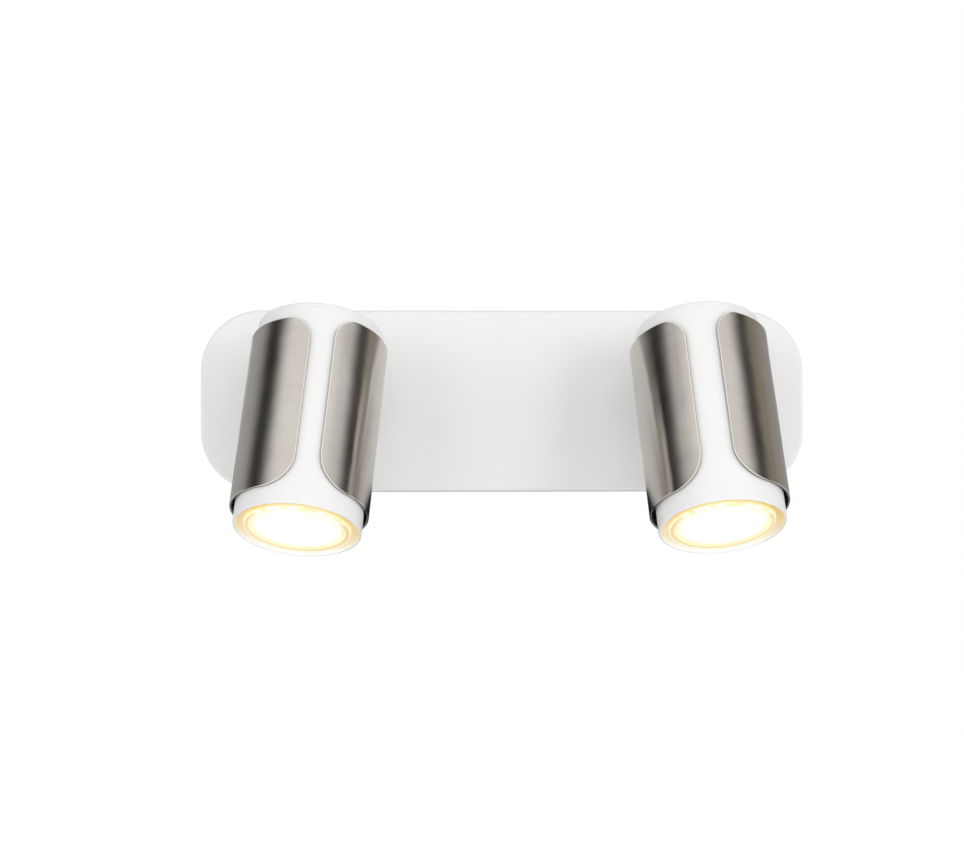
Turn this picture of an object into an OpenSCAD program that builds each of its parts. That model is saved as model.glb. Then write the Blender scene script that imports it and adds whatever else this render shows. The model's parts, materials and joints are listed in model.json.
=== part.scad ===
// Twin spotlight: a rounded wall plate with two turning spot heads, in millimetres.
// Origin: centre of the plate's back, on the wall. +X to the right, +Y into the wall, +Z up.
// Each head hangs on a hollow knuckle: it pans about Y and tilts on a cross screw.
// Inside it a bracket carries the lampholder, where the lamp locks with a twist.

/* [Canopy] */
// Length of the canopy
canopy_w = 300; // [280:1:340]
// Height of the canopy
canopy_h = 90; // [86:1:110]
// Depth of the canopy, from the wall to its front
canopy_d = 20; // [19:0.5:28]
// Sheet thickness of the canopy
canopy_t = 1.2; // [0.8:0.1:1.5]
// Corner radius of the canopy, seen from the front
canopy_r = 30; // [20:1:40]
// Radius of the canopy's front edge
canopy_edge_r = 1.8; // [1.6:0.1:2.6]
// Distance between the two swivels
head_spacing = 186; // [180:1:200]

/* [Mounting bracket] */
// Width of the bracket strip
bracket_w = 28; // [26:1:34]
// Thickness of the bracket strip
bracket_t = 1.5; // [1.2:0.1:2]
// Height of the bent end tabs, from the wall
bracket_tab_h = 13; // [12:0.5:15]
// Width of the bent end tabs
bracket_tab_w = 16; // [12:1:20]
// Outside bend radius of the sheet pieces
bend_r = 2.5; // [2.2:0.1:3]
// Distance between the two wall slots
slot_spacing = 124; // [110:1:130]
// Length of a wall slot, end to end
slot_l = 20; // [12:1:24]
// Width of a wall slot
slot_w = 5.2; // [4.5:0.1:6]
// Distance of the cable hole from the middle
cable_hole_x = 32; // [30:1:34]
// Radius of the cable hole
cable_hole_r = 7; // [5:0.5:8]

/* [Canopy screws] */
// Distance of the side screws from the wall
side_screw_y = 9; // [8:0.5:9]
// Radius of the side screws
side_screw_r = 2; // [1.5:0.25:2]
// Radius of the bush spigot in the canopy's end wall
bush_spigot_r = 3.2; // [3:0.1:3.6]
// Radius of the bush flange
bush_flange_r = 4.8; // [4.4:0.1:5.2]
// Length of the bush inside the canopy
bush_l = 3; // [2:0.25:4]

/* [Wiring] */
// Distance between the terminal poles
pole_pitch = 8; // [7.5:0.1:8]
// Length of the terminal block along the wires
terminal_l = 20; // [18:1:22]
// Height of the terminal block above the bracket
terminal_h = 12; // [11:0.5:13]
// Radius of the wires' insulation
lead_r = 1.1; // [0.9:0.1:1.2]
// Radius of the bare conductor
core_r = 0.6; // [0.4:0.1:0.7]
// Radius of the wires' bends, at the wire's middle
lead_bend_r = 4; // [3.5:0.5:4]

/* [Swivel] */
// Height of the tilt axis in front of the canopy
hinge_out = 15; // [15:0.5:22]
// Radius of the hollow threaded stub and nipple
nipple_r = 5; // [4.6:0.1:5.4]
// Radius of the wire bore in the stub and nipple
wire_bore_r = 3; // [2.8:0.1:3.4]
// Radius of the collar that bears on the canopy
collar_r = 10; // [9:0.5:11]
// Thickness of the collar
collar_t = 3; // [2:0.25:3.5]
// Radius of the neck and shank beside the knuckle
neck_r = 6.6; // [6.2:0.1:7]
// Radius of the knuckle cups
cup_r = 7.5; // [7:0.1:7.8]
// Width of one knuckle cup
cup_w = 6.5; // [6:0.25:7.5]
// Wall of the knuckle cups
cup_wall = 1.6; // [1.2:0.1:1.8]
// Thickness of the friction disc between the cups
disc_t = 0.9; // [0.6:0.1:1.2]
// Radius of the hinge screw
hinge_screw_r = 2; // [1.5:0.25:2]
// Nut thickness, across the stub and nipple
nut_t = 3.2; // [2.5:0.1:3.4]
// Width across the flats of the stub and nipple nuts
nut_af = 14; // [13.5:0.25:15]

/* [Heads] */
// Distance from the tilt axis to the head's tube
arm_out = 15.5; // [15.5:0.5:20]
// Distance from the head's back end to the swivel's nipple
nipple_back = 13.25; // [13:0.25:15]
// Outside radius of the head's tube
tube_r = 30; // [29:0.1:33]
// Wall of the head's tube
tube_wall = 1.2; // [1:0.1:1.6]
// Length of the head, cap included
head_l = 104; // [102:1:115]
// Thickness of the rear cap
cap_t = 2.4; // [1.8:0.1:2.8]
// Depth of the rear cap's spigot
cap_spigot_l = 3; // [2:0.5:3]
// Lean of the left head away from the middle
left_pan = 6.5; // [0:0.5:20]
// Lean of the right head away from the middle
right_pan = 4; // [0:0.5:20]
// Forward tilt of the left head
left_tilt = 23.6; // [10:0.1:80]
// Forward tilt of the right head
right_tilt = 24.5; // [10:0.1:80]

/* [Sleeves] */
// Sheet thickness of the sleeve
sleeve_t = 0.9; // [0.7:0.1:1]
// Gap between the flaps, if the sleeve lay tight on the tube
sleeve_edge_gap = 1.15; // [0.5:0.05:4]
// Gap between the left sleeve, as sprung, and the tube's sides
left_sleeve_gap = 1.6; // [1.3:0.1:2.3]
// Gap between the right sleeve, as sprung, and the tube's sides
right_sleeve_gap = 2.2; // [1.3:0.1:2.3]
// Turn of the left sleeve's slot towards the middle
left_slot_turn = 3; // [-5:0.5:5]
// Turn of the right sleeve's slot towards the middle
right_slot_turn = 4; // [-5:0.5:5]
// Length of the sleeve
sleeve_l = 87; // [80:0.5:88]
// Distance from the left head's back end to its sleeve
left_sleeve_back = 7.5; // [6.5:0.25:8]
// Distance from the right head's back end to its sleeve
right_sleeve_back = 6.75; // [6.5:0.25:8]
// Corner radius of the flaps at the back
flap_back_r = 11.5; // [6:0.5:14]
// Corner radius of the flaps at the mouth
flap_front_r = 16; // [10:0.5:24]

/* [Lamp] */
// Radius of the lamp's front
lamp_r = 25; // [24.5:0.1:25.4]
// Depth of the lamp's face inside the mouth
lamp_recess = 0.3; // [0.1:0.1:2]
// Length of the lamp without its pins
lamp_l = 50; // [48:0.5:52]
// Radius of the lamp's base
lamp_base_r = 11.5; // [11:0.25:12]
// Distance between the lamp's two pins
pin_pitch = 10; // [9.8:0.1:10.2]
// Radius of the lamp's pin heads
pin_head_r = 2.5; // [2.3:0.1:2.6]
// Turn that locks the lamp in its holder
lock_turn = 30; // [20:1:35]

/* [Hidden] */

$fn = 64;
FINE = 240;

LEFT = -1;
RIGHT = 1;
SIDES = [LEFT, RIGHT];

// Clearances: between faces that bear on each other, round pins and spigots, and round loose holes
seat = 0.05;
fit = 0.05;
loose = 0.2;
// How far a cutter runs past the face that it cuts
over = 1;

// Colours
WHITE = "white";
STEEL = "silver";
BRASS = "goldenrod";
PALE = "whitesmoke";
DARK = "dimgray";

// Canopy and bracket
canopy_inner_y = -canopy_d + canopy_t;
tab_x = canopy_w / 2 - canopy_t - bush_l - 2 * loose;
screw_recess = 0.8;
screw_slot_w = 0.8;
screw_past_tab = 1;

// Terminal block: poles stacked in Z, wires along X
POLES = [1, 0, -1];
terminal_edge = 1.2;
pole_w = 6.4;
tower_l = 5.2;
tower_base_h = 7.6;
insert_r = 2.1;
insert_bore_r = 1.4;
insert_l = terminal_l - 4;
pole_axis_h = 4.6;
wire_y = -bracket_t - pole_axis_h;
clamp_x = 4.6;
clamp_screw_r = 1.3;
clamp_screw_head_r = 1.7;
block_screw_r = 1.1;
block_screw_head_r = 1.9;
block_screw_head_t = 1.6;

// Earth terminal
earth_x = 26;
earth_screw_r = 2;
earth_head_r = 3.4;
earth_head_t = 2.2;
lug_t = 0.8;
lug_r = 3.6;
lug_tongue_l = 4;

// Wires: sides of the swept skin and steps round a corner, then the feed leads in front of the bracket
wire_sides = 10;
corner_steps = 5;
lug_wire_y = -bracket_t - 2 * seat - lug_t - lead_r;
feed_y = -8;
pair_half = 1.25;
feed_spread_x = 24;

// Swivel, along the pan axis
hinge_y = -canopy_d - hinge_out;
washer_t = 0.8;
spring_washer_t = 1;
washer_rim = 1;
collar_back_y = -canopy_d - washer_t - 2 * seat;
collar_front_y = collar_back_y - collar_t;
nut_back_y = canopy_inner_y + spring_washer_t + 2 * seat;
thread_spare = 1.5;
stub_end_y = nut_back_y + nut_t + thread_spare;
shoulder = cup_r + 0.6;
disc_gap = disc_t / 2 + seat;
cup_bore_r = cup_r - cup_wall;
cup_floor = 1.7;
side_bore_r = 2.1;
side_bore_x = 2.9;
side_way = 0.8;
web_half = 6;
hinge_head_r = 3.6;
hinge_head_t = 2.6;
hinge_nut_af = 7;
hinge_nut_t = 3;
hinge_thread_spare = 0.8;
hex_key_af = 2.5;
hex_key_depth = 1.4;

// Head, measured along its middle line from the back end
tube_in_r = tube_r - tube_wall;
axis_offset = tube_r + arm_out;
sleeve_blank_w = 2 * PI * (tube_r + sleeve_t) - sleeve_edge_gap;
saddle_r = 7;
saddle_seat_y = 1.2;
nut_corner_r = nut_af / 2 / cos(30);
leg_w = 15;
leg_t = 1.2;
leg_out_y = sqrt(pow(tube_in_r, 2) - pow(leg_w / 2, 2)) - seat;
leg_in_y = leg_out_y - leg_t;
nipple_end_y = leg_in_y - nut_t - seat - thread_spare;
cap_edge_r = 1.2;
flap_gap = 0.3;
notch_half = nipple_r + loose;
flap_step = 10;
lead_run = 9;
lead_rise = 8;

// Lamp and its holder
lamp_face = head_l - lamp_recess;
lamp_base = lamp_face - lamp_l;
holder_front = lamp_base - 0.3;
holder_l = 14.5;
holder_back = holder_front - holder_l;
holder_w = 20;
holder_h = 28;
holder_corner_r = 6;
plate_t = 1.2;
plate_back = holder_back - plate_t - seat;
holder_wall = 3;
cavity_l = 4.4;
pin_neck_r = 1.5;
pin_head_l = 3.2;
pin_gap = 0.25;
pin_tip = holder_front - holder_wall - pin_gap - pin_head_l;
holder_screw_r = 1.5;
holder_screw_head_r = 2.8;
holder_screw_head_t = 1.8;
holder_screw_y = 9.8;
holder_screw_sink = 2.4;
contact_t = 0.4;
contact_l = 3.6;
contact_w = 3.4;
rim_l = 3;
rim_step = 0.5;
rim_edge_r = 1;
reflector_l = 28;
reflector_wall = 1.4;
tail_step = 1;
flare_bow = 1.1;
flare_steps = 10;
ledge_w = 1.2;
lens_r = 22.4;
lens_t = 1.8;
lens_sink = 0.4;
lens_ring_r = 20.4;
lens_ring_w = 1;
lens_ring_h = 0.6;
base_collar_r = 14;
base_collar_l = 2.5;
base_chamfer = 0.8;
pin_root = 3;

// Values that differ from side to side
function pan_of(side) = side == LEFT ? left_pan : right_pan;
function tilt_of(side) = side == LEFT ? left_tilt : right_tilt;
function sleeve_gap_of(side) = side == LEFT ? left_sleeve_gap : right_sleeve_gap;
function sleeve_r_of(side) = tube_r + sleeve_t + sleeve_gap_of(side);
function sleeve_back_of(side) = side == LEFT ? left_sleeve_back : right_sleeve_back;

// The sprung sleeve sits this far back from the tube's middle line, so that its flaps nearly touch the tube
function sleeve_shift(side) = sleeve_gap_of(side) - flap_gap;
function slot_turn_of(side) = side == LEFT ? left_slot_turn : right_slot_turn;

// Frames: the pan axis is Y, the tilt axis is the local X, the head's middle line is the local Z
module at_swivel(side)
  translate([side * head_spacing / 2, 0, 0])
    rotate([0, -side * pan_of(side), 0])
      children();

module at_hinge(side)
  at_swivel(side)
    translate([0, hinge_y, 0])
      rotate([-tilt_of(side), 0, 0])
        children();

// Local origin at the middle of the head's back end, with the mouth towards -Z
module at_head(side)
  at_hinge(side)
    translate([0, -axis_offset, nipple_back])
      children();

// Solid rods along the axes, from one coordinate to another
module rod_x(x0, x1, r)
  translate([min(x0, x1), 0, 0]) rotate([0, 90, 0]) cylinder(h = abs(x1 - x0), r = r);

module rod_y(y0, y1, r)
  translate([0, max(y0, y1), 0]) rotate([90, 0, 0]) cylinder(h = abs(y1 - y0), r = r);

// A rod along the head's middle line, between two distances from its back end
module rod_t(t0, t1, r, sides = $fn)
  translate([0, 0, -max(t0, t1)]) cylinder(h = abs(t1 - t0), r = r, $fn = sides);

module ring_y(y0, y1, r_out, r_in)
  difference() {
    rod_y(y0, y1, r_out);
    rod_y(min(y0, y1) - over, max(y0, y1) + over, r_in);
  }

module box_to(low, high)
  translate(low) cube(high - low);

// A hexagonal prism along Y
module hex_y(y0, y1, af)
  translate([0, max(y0, y1), 0])
    rotate([90, 0, 0])
      cylinder(h = abs(y1 - y0), r = af / 2 / cos(30), $fn = 6);

module hex_x(x0, x1, af)
  translate([min(x0, x1), 0, 0])
    rotate([0, 90, 0])
      cylinder(h = abs(x1 - x0), r = af / 2 / cos(30), $fn = 6);

// A round wire along straight runs with rounded corners, swept as one skin; its last end is bared
function unit(v) = v / norm(v);
function run_dir(path, i) = unit(path[i + 1] - path[i]);
function corner_turn(path, i) = acos(run_dir(path, i - 1) * run_dir(path, i));
function corner_arc(path, i, bend) =
  let (d = run_dir(path, i - 1), e = run_dir(path, i), turn = corner_turn(path, i),
       n = unit(e - (e * d) * d), start = path[i] - bend * tan(turn / 2) * d)
    [for (k = [0 : corner_steps])
      let (a = turn * k / corner_steps) start + bend * (sin(a) * d + (1 - cos(a)) * n)];
function middle_line(path, bend, bare) =
  let (last = len(path) - 1, tip = path[last] + bare * run_dir(path, last - 1))
    concat([path[0]], [for (i = [1 : last - 1]) each corner_arc(path, i, bend)],
           [path[last], path[last], tip]);
function heading(line, i) =
  let (last = len(line) - 1)
    i == 0 ? unit(line[1] - line[0])
    : i >= last - 2 ? unit(line[last] - line[last - 1])
    : unit(line[i + 1] - line[i - 1]);
function side_of(line, i, n) = let (t = heading(line, i)) unit(n - (n * t) * t);
function sides_of(line, i, n) =
  i == len(line) ? [] : let (m = side_of(line, i, n)) concat([m], sides_of(line, i + 1, m));

module wire(path, bend, r, bare) {
  line = middle_line(path, bend, bare);
  last = len(line) - 1;
  normals = sides_of(line, 0, [0.1, 0.3, 1]);
  rings = [for (i = [0 : last])
    let (n = normals[i], m = cross(heading(line, i), n), q = i < last - 1 ? r : core_r)
      each [for (k = [0 : wire_sides - 1])
        let (a = 360 * k / wire_sides) line[i] + q * (cos(a) * n + sin(a) * m)]];
  skin = [for (i = [0 : last - 1], k = [0 : wire_sides - 1])
    let (a = i * wire_sides + k, b = i * wire_sides + (k + 1) % wire_sides)
      each [[a, b, b + wire_sides], [a, b + wire_sides, a + wire_sides]]];
  first_cap = [for (k = [1 : wire_sides - 2]) [0, k + 1, k]];
  last_cap = [for (k = [1 : wire_sides - 2])
    [last * wire_sides, last * wire_sides + k, last * wire_sides + k + 1]];
  polyhedron(points = rings, faces = [for (f = concat(skin, first_cap, last_cap)) [f[0], f[2], f[1]]]);
}

// Canopy: a drawn pan, open towards the wall, drawn here with its front at z = 0
module canopy_section(depth)
  difference() {
    union() {
      translate([-canopy_edge_r, canopy_edge_r]) square([canopy_edge_r, depth - canopy_edge_r]);
      intersection() {
        translate([-canopy_edge_r, canopy_edge_r]) circle(canopy_edge_r);
        translate([-canopy_edge_r, 0]) square(canopy_edge_r);
      }
    }
    translate([-canopy_edge_r - over, canopy_edge_r])
      square([canopy_edge_r + over - canopy_t, depth]);
    translate([-canopy_edge_r, canopy_edge_r]) circle(canopy_edge_r - canopy_t);
  }

module rounded_plate(w, h, r, t)
  linear_extrude(t)
    union() {
      square([w - 2 * r, h], center = true);
      square([w, h - 2 * r], center = true);
      for (x = [-1, 1], y = [-1, 1])
        translate([x * (w / 2 - r), y * (h / 2 - r)]) circle(r);
    }

module canopy_shell() {
  edge = canopy_edge_r;
  rounded_plate(canopy_w - 2 * edge, canopy_h - 2 * edge, canopy_r - edge, canopy_t);
  for (a = [0, 180])
    rotate([0, 0, a])
      translate([canopy_w / 2, 0, 0])
        rotate([90, 0, 0])
          linear_extrude(canopy_h - 2 * canopy_r, center = true) canopy_section(canopy_d);
  for (a = [90, 270])
    rotate([0, 0, a])
      translate([canopy_h / 2, 0, 0])
        rotate([90, 0, 0])
          linear_extrude(canopy_w - 2 * canopy_r, center = true) canopy_section(canopy_d);
  for (x = [-1, 1], y = [-1, 1])
    translate([x * (canopy_w / 2 - canopy_r), y * (canopy_h / 2 - canopy_r), 0])
      rotate([0, 0, x > 0 ? (y > 0 ? 0 : 270) : (y > 0 ? 90 : 180)])
        rotate_extrude(angle = 90)
          translate([canopy_r, 0]) canopy_section(canopy_d);
}

module canopy()
  color(WHITE)
    difference() {
      translate([0, -canopy_d, 0]) rotate([-90, 0, 0]) canopy_shell();
      for (side = SIDES)
        translate([side * head_spacing / 2, 0, 0])
          rod_y(-canopy_d - over, canopy_inner_y + over, nipple_r + loose);
      translate([0, -side_screw_y, 0])
        for (side = SIDES)
          rod_x(side * (canopy_w / 2 - canopy_t - over), side * (canopy_w / 2 + over),
                bush_spigot_r + fit);
    }

// Mounting bracket: a strip on the wall with two bent tabs inside the canopy's ends
module bent_tab(side)
  linear_extrude(bracket_tab_w, center = true) {
    translate([side * (tab_x - bend_r), -bend_r])
      intersection() {
        difference() {
          circle(bend_r);
          circle(bend_r - bracket_t);
        }
        translate([side > 0 ? 0 : -bend_r, 0]) square(bend_r);
      }
    translate([side > 0 ? tab_x - bracket_t : -tab_x, -bracket_tab_h])
      square([bracket_t, bracket_tab_h - bend_r]);
    translate([side > 0 ? tab_x - bend_r - over : -tab_x + bend_r, -bracket_t]) square([over, bracket_t]);
  }

module wall_slot(x)
  translate([x, 0, 0]) {
    for (side = SIDES)
      translate([side * (slot_l - slot_w) / 2, 0, 0]) rod_y(-bracket_t - over, over, slot_w / 2);
    box_to([-(slot_l - slot_w) / 2, -bracket_t - over, -slot_w / 2],
           [(slot_l - slot_w) / 2, over, slot_w / 2]);
  }

module mounting_bracket()
  color(STEEL)
    difference() {
      union() {
        box_to([-tab_x + bend_r, -bracket_t, -bracket_w / 2], [tab_x - bend_r, 0, bracket_w / 2]);
        for (side = SIDES) bent_tab(side);
      }
      for (side = SIDES) wall_slot(side * slot_spacing / 2);
      translate([-cable_hole_x, 0, 0]) rod_y(-bracket_t - over, over, cable_hole_r);
      translate([earth_x, 0, -pole_pitch]) rod_y(-bracket_t - over, over, earth_screw_r + fit);
      translate([0, 0, pole_pitch / 2]) rod_y(-bracket_t - over, over, block_screw_r + fit);
      translate([0, -side_screw_y, 0])
        rod_x(-tab_x - over, tab_x + over, side_screw_r + loose);
    }

// Bushes in the canopy's end walls, and the headless screws that lock the canopy on the tabs
module end_bushes()
  color(STEEL)
    translate([0, -side_screw_y, 0])
      for (side = SIDES)
        difference() {
          union() {
            rod_x(side * (canopy_w / 2 - canopy_t - seat), side * (canopy_w / 2 - seat), bush_spigot_r);
            rod_x(side * (canopy_w / 2 - canopy_t - seat - bush_l),
                  side * (canopy_w / 2 - canopy_t - seat), bush_flange_r);
          }
          rod_x(side * (canopy_w / 2 - canopy_t - bush_l - over), side * (canopy_w / 2 + over),
                side_screw_r + fit);
        }

module side_screws()
  color(STEEL)
    translate([0, -side_screw_y, 0])
      for (side = SIDES)
        difference() {
          rod_x(side * (tab_x - bracket_t - screw_past_tab), side * (canopy_w / 2 - screw_recess),
                side_screw_r);
          translate([side * (canopy_w / 2 - screw_recess), 0, 0])
            cube([2 * screw_recess, screw_slot_w, 3 * side_screw_r], center = true);
        }

// Terminal block with three poles
module pole_tower(x, z)
  translate([x, 0, z])
    box_to([-tower_l / 2, -bracket_t - terminal_h, -pole_w / 2],
           [tower_l / 2, -bracket_t - over, pole_w / 2]);

module terminal_block() {
  half_l = terminal_l / 2;
  half_w = 1.5 * pole_pitch;
  color(PALE)
    difference() {
      union() {
        box_to([-half_l, -bracket_t - tower_base_h, -half_w], [half_l, -bracket_t - seat, half_w]);
        for (pole = POLES, side = SIDES) pole_tower(side * clamp_x, pole * pole_pitch);
      }
      for (pole = POLES) {
        translate([0, wire_y, pole * pole_pitch]) rod_x(-half_l - over, half_l + over, insert_r + fit);
        for (side = SIDES)
          translate([side * clamp_x, 0, pole * pole_pitch])
            rod_y(-bracket_t - terminal_h - over, wire_y, clamp_screw_head_r + loose);
      }
      translate([0, 0, pole_pitch / 2])
        rod_y(-bracket_t - terminal_h - over, over, block_screw_r + fit);
    }
}

module terminal_inserts()
  color(BRASS)
    for (pole = POLES)
      difference() {
        translate([0, wire_y, pole * pole_pitch]) rod_x(-insert_l / 2, insert_l / 2, insert_r);
        translate([0, wire_y, pole * pole_pitch]) rod_x(-insert_l, insert_l, insert_bore_r);
        for (side = SIDES)
          translate([side * clamp_x, 0, pole * pole_pitch])
            rod_y(wire_y - 2 * insert_r, wire_y, clamp_screw_r + fit);
      }

module slotted_head(y0, y1, r)
  difference() {
    rod_y(y0, y1, r);
    translate([0, y0, 0]) cube([3 * r, 2 * screw_recess, screw_slot_w], center = true);
  }

module terminal_screws()
  color(STEEL)
    for (pole = POLES, side = SIDES)
      translate([side * clamp_x, 0, pole * pole_pitch]) {
        slotted_head(-bracket_t - terminal_h + over, wire_y - insert_r - loose, clamp_screw_head_r);
        rod_y(wire_y - insert_r - loose, wire_y - core_r - seat, clamp_screw_r);
      }

module terminal_fixing_screw()
  color(STEEL)
    translate([0, 0, pole_pitch / 2]) {
      slotted_head(-bracket_t - tower_base_h - seat - block_screw_head_t,
                   -bracket_t - tower_base_h - seat, block_screw_head_r);
      rod_y(-bracket_t - tower_base_h - seat, -seat, block_screw_r);
    }

// Earth terminal on the bracket
module earth_screw()
  color(STEEL)
    translate([earth_x, 0, -pole_pitch]) {
      slotted_head(-bracket_t - lug_t - 2 * seat - earth_head_t, -bracket_t - lug_t - 2 * seat,
                   earth_head_r);
      rod_y(-bracket_t - lug_t - 2 * seat, -seat, earth_screw_r);
    }

module earth_lug()
  color(BRASS)
    translate([earth_x, 0, -pole_pitch])
      difference() {
        union() {
          rod_y(-bracket_t - seat - lug_t, -bracket_t - seat, lug_r);
          box_to([-lug_r - lug_tongue_l, -bracket_t - seat - lug_t, -lead_r],
                 [0, -bracket_t - seat, lead_r]);
        }
        rod_y(-bracket_t - seat - lug_t - over, over, earth_screw_r + fit);
      }

// Wires: insulated runs with a bare end under a clamp screw
module earth_lead()
  color("yellowgreen")
    wire([[earth_x - lug_r - lug_tongue_l + over, lug_wire_y, -pole_pitch],
          [(earth_x + terminal_l / 2) / 2, (lug_wire_y + wire_y) / 2, -pole_pitch - over],
          [terminal_l / 2, wire_y, -pole_pitch],
          [terminal_l / 2 - over, wire_y, -pole_pitch]], lead_bend_r, lead_r, terminal_l / 2 - clamp_x);

module feed_leads(side)
  for (k = [-1, 1]) {
    pole_z = k > 0 ? pole_pitch : 0;
    stub_x = side * head_spacing / 2;
    color(k > 0 ? "saddlebrown" : "steelblue")
      wire([[stub_x, stub_end_y - 2, k * pair_half],
            [stub_x, feed_y, k * pair_half],
            [side * feed_spread_x, feed_y, k * pair_half],
            [side * (terminal_l / 2 + 3), wire_y, pole_z],
            [side * (terminal_l / 2 - over), wire_y, pole_z]], lead_bend_r, lead_r,
           terminal_l / 2 - clamp_x);
  }

// Swivel: the collar and stub turn in the canopy, and the cup beside the pan axis takes the hinge screw
module cup(x_side, back_dir)
  difference() {
    union() {
      rod_x(x_side * disc_gap, x_side * cup_w, cup_r);
      box_to([x_side > 0 ? disc_gap : -cup_w, back_dir > 0 ? 0 : -shoulder, -web_half],
             [x_side > 0 ? cup_w : -disc_gap, back_dir > 0 ? shoulder : 0, web_half]);
    }
    rod_x(0, x_side * (cup_w - cup_floor), cup_bore_r);
    rod_x(-cup_w - over, cup_w + over, hinge_screw_r + fit);
    translate([x_side * side_bore_x, 0, 0]) rod_y(0, back_dir * (shoulder + over), side_bore_r);
  }

module swivel_base()
  color(WHITE) {
    translate([0, hinge_y, 0]) cup(-1, 1);
    difference() {
      union() {
        rod_y(hinge_y + shoulder, collar_front_y, neck_r);
        rod_y(collar_front_y, collar_back_y, collar_r);
        rod_y(collar_back_y, stub_end_y, nipple_r);
      }
      rod_y(hinge_y + shoulder + side_way / 2, stub_end_y + over, wire_bore_r);
      translate([-side_bore_x, 0, 0])
        rod_y(hinge_y + shoulder - over, hinge_y + shoulder + side_way, side_bore_r);
    }
  }

module friction_washer()
  color(DARK) ring_y(-canopy_d - seat - washer_t, -canopy_d - seat, collar_r, nipple_r + fit);

module spring_washer()
  color(STEEL)
    ring_y(canopy_inner_y + seat, canopy_inner_y + seat + spring_washer_t, nut_af / 2 + washer_rim,
           nipple_r + fit);

module stub_nut()
  color(BRASS)
    difference() {
      hex_y(nut_back_y, nut_back_y + nut_t, nut_af);
      rod_y(nut_back_y - over, nut_back_y + nut_t + over, nipple_r + fit);
    }

module hinge_screw()
  color(STEEL)
    difference() {
      union() {
        rod_x(-cup_w - seat - hinge_head_t, -cup_w - seat, hinge_head_r);
        rod_x(-cup_w - seat, cup_w + seat + hinge_nut_t + hinge_thread_spare, hinge_screw_r);
      }
      hex_x(-cup_w - seat - hinge_head_t - over, -cup_w - seat - hinge_head_t + hex_key_depth, hex_key_af);
    }

module hinge_nut()
  color(STEEL)
    difference() {
      hex_x(cup_w + seat, cup_w + seat + hinge_nut_t, hinge_nut_af);
      rod_x(cup_w, cup_w + hinge_nut_t + over, hinge_screw_r + fit);
    }

module hinge_disc()
  color(DARK)
    difference() {
      rod_x(-disc_t / 2, disc_t / 2, cup_r);
      rod_x(-disc_t, disc_t, cup_bore_r);
    }

// Head arm: the other cup, a shank and the hollow nipple that clamps the sleeve and the tube
module head_arm(side) {
  shank_end = -axis_offset + sleeve_shift(side) + sleeve_r_of(side) + saddle_seat_y;
  nipple_end = -axis_offset + nipple_end_y;
  color(WHITE) {
    cup(1, -1);
    difference() {
      union() {
        rod_y(shank_end, -shoulder, neck_r);
        rod_y(nipple_end, shank_end, nipple_r);
      }
      rod_y(nipple_end - over, -shoulder - side_way / 2, wire_bore_r);
      translate([side_bore_x, 0, 0]) rod_y(-shoulder - side_way, -shoulder + over, side_bore_r);
    }
  }
}

// Pieces round the nipple, in the head's frame: y is the distance from the middle line, t from the back end
module at_nipple()
  translate([0, 0, -nipple_back]) children();

module saddle(side)
  color(WHITE)
    translate([0, sleeve_shift(side), 0])
      difference() {
        at_nipple()
          ring_y(sleeve_r_of(side) - 2 * saddle_seat_y, sleeve_r_of(side) + saddle_seat_y - seat, saddle_r,
                 nipple_r + fit);
        rod_t(-over, nipple_back * 3, sleeve_r_of(side) + seat, FINE);
      }

module sleeve_spacer(side)
  color(DARK)
    difference() {
      translate([0, sleeve_shift(side), 0])
        intersection() {
          at_nipple()
            ring_y(tube_r - saddle_seat_y * 2 - sleeve_shift(side), sleeve_r_of(side), saddle_r,
                   nipple_r + fit);
          rod_t(-over, nipple_back * 3, sleeve_r_of(side) - sleeve_t - seat, FINE);
        }
      rod_t(-2 * over, nipple_back * 3 + over, tube_r + seat, FINE);
    }

module nipple_nut()
  color(BRASS)
    at_nipple()
      difference() {
        hex_y(leg_in_y - seat - nut_t, leg_in_y - seat, nut_af);
        rod_y(leg_in_y - nut_t - over, leg_in_y + over, nipple_r + fit);
      }

// Sleeve: a sheet rolled round the tube, with its slot and flap corners cut as they lie in the flat blank
function slot_half(r) = (2 * PI * r - sleeve_blank_w) / 2;
function across(s, r) = r * sin(s / r * 180 / PI);
function flap_edge(r, back, front) = concat(
  [[slot_half(r) + flap_back_r * (1 + sin(flap_step)), back - over],
   [slot_half(r) + flap_back_r * (1 + sin(flap_step)), back - flap_back_r * (1 - cos(flap_step))]],
  [for (a = [flap_step : flap_step : 90])
    [slot_half(r) + flap_back_r * (1 - sin(a)), back + flap_back_r * (1 - cos(a))]],
  [for (a = [0 : flap_step : 90 - flap_step])
    [slot_half(r) + flap_front_r * (1 - cos(a)), front - flap_front_r * (1 - sin(a))]],
  [[slot_half(r) + flap_front_r * (1 + sin(flap_step)), front + flap_front_r * (1 - cos(flap_step))],
   [slot_half(r) + flap_front_r * (1 + sin(flap_step)), front + over]]);

module slot_cutter(r, back, front) {
  edge = flap_edge(r, back, front);
  last = len(edge) - 1;
  right = [for (q = edge) [across(q[0], r), -q[1]]];
  left = [for (i = [last : -1 : 0]) [-across(edge[i][0], r), -edge[i][1]]];
  translate([0, -r / 2, 0])
    rotate([90, 0, 0])
      linear_extrude(r)
        polygon(concat(right, left));
}

module sleeve(side) {
  r = sleeve_r_of(side);
  back = sleeve_back_of(side);
  front = back + sleeve_l;
  color(STEEL)
    translate([0, sleeve_shift(side), 0])
      difference() {
        rod_t(back, front, r);
        rod_t(back - over, front + over, r - sleeve_t);
        rotate([0, 0, -side * slot_turn_of(side)]) slot_cutter(r, back, front);
        at_nipple() rod_y(r - 4 * sleeve_t, r + over, notch_half + fit);
        box_to([-notch_half, r - 4 * sleeve_t, -nipple_back], [notch_half, r + over, over]);
      }
}

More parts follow.
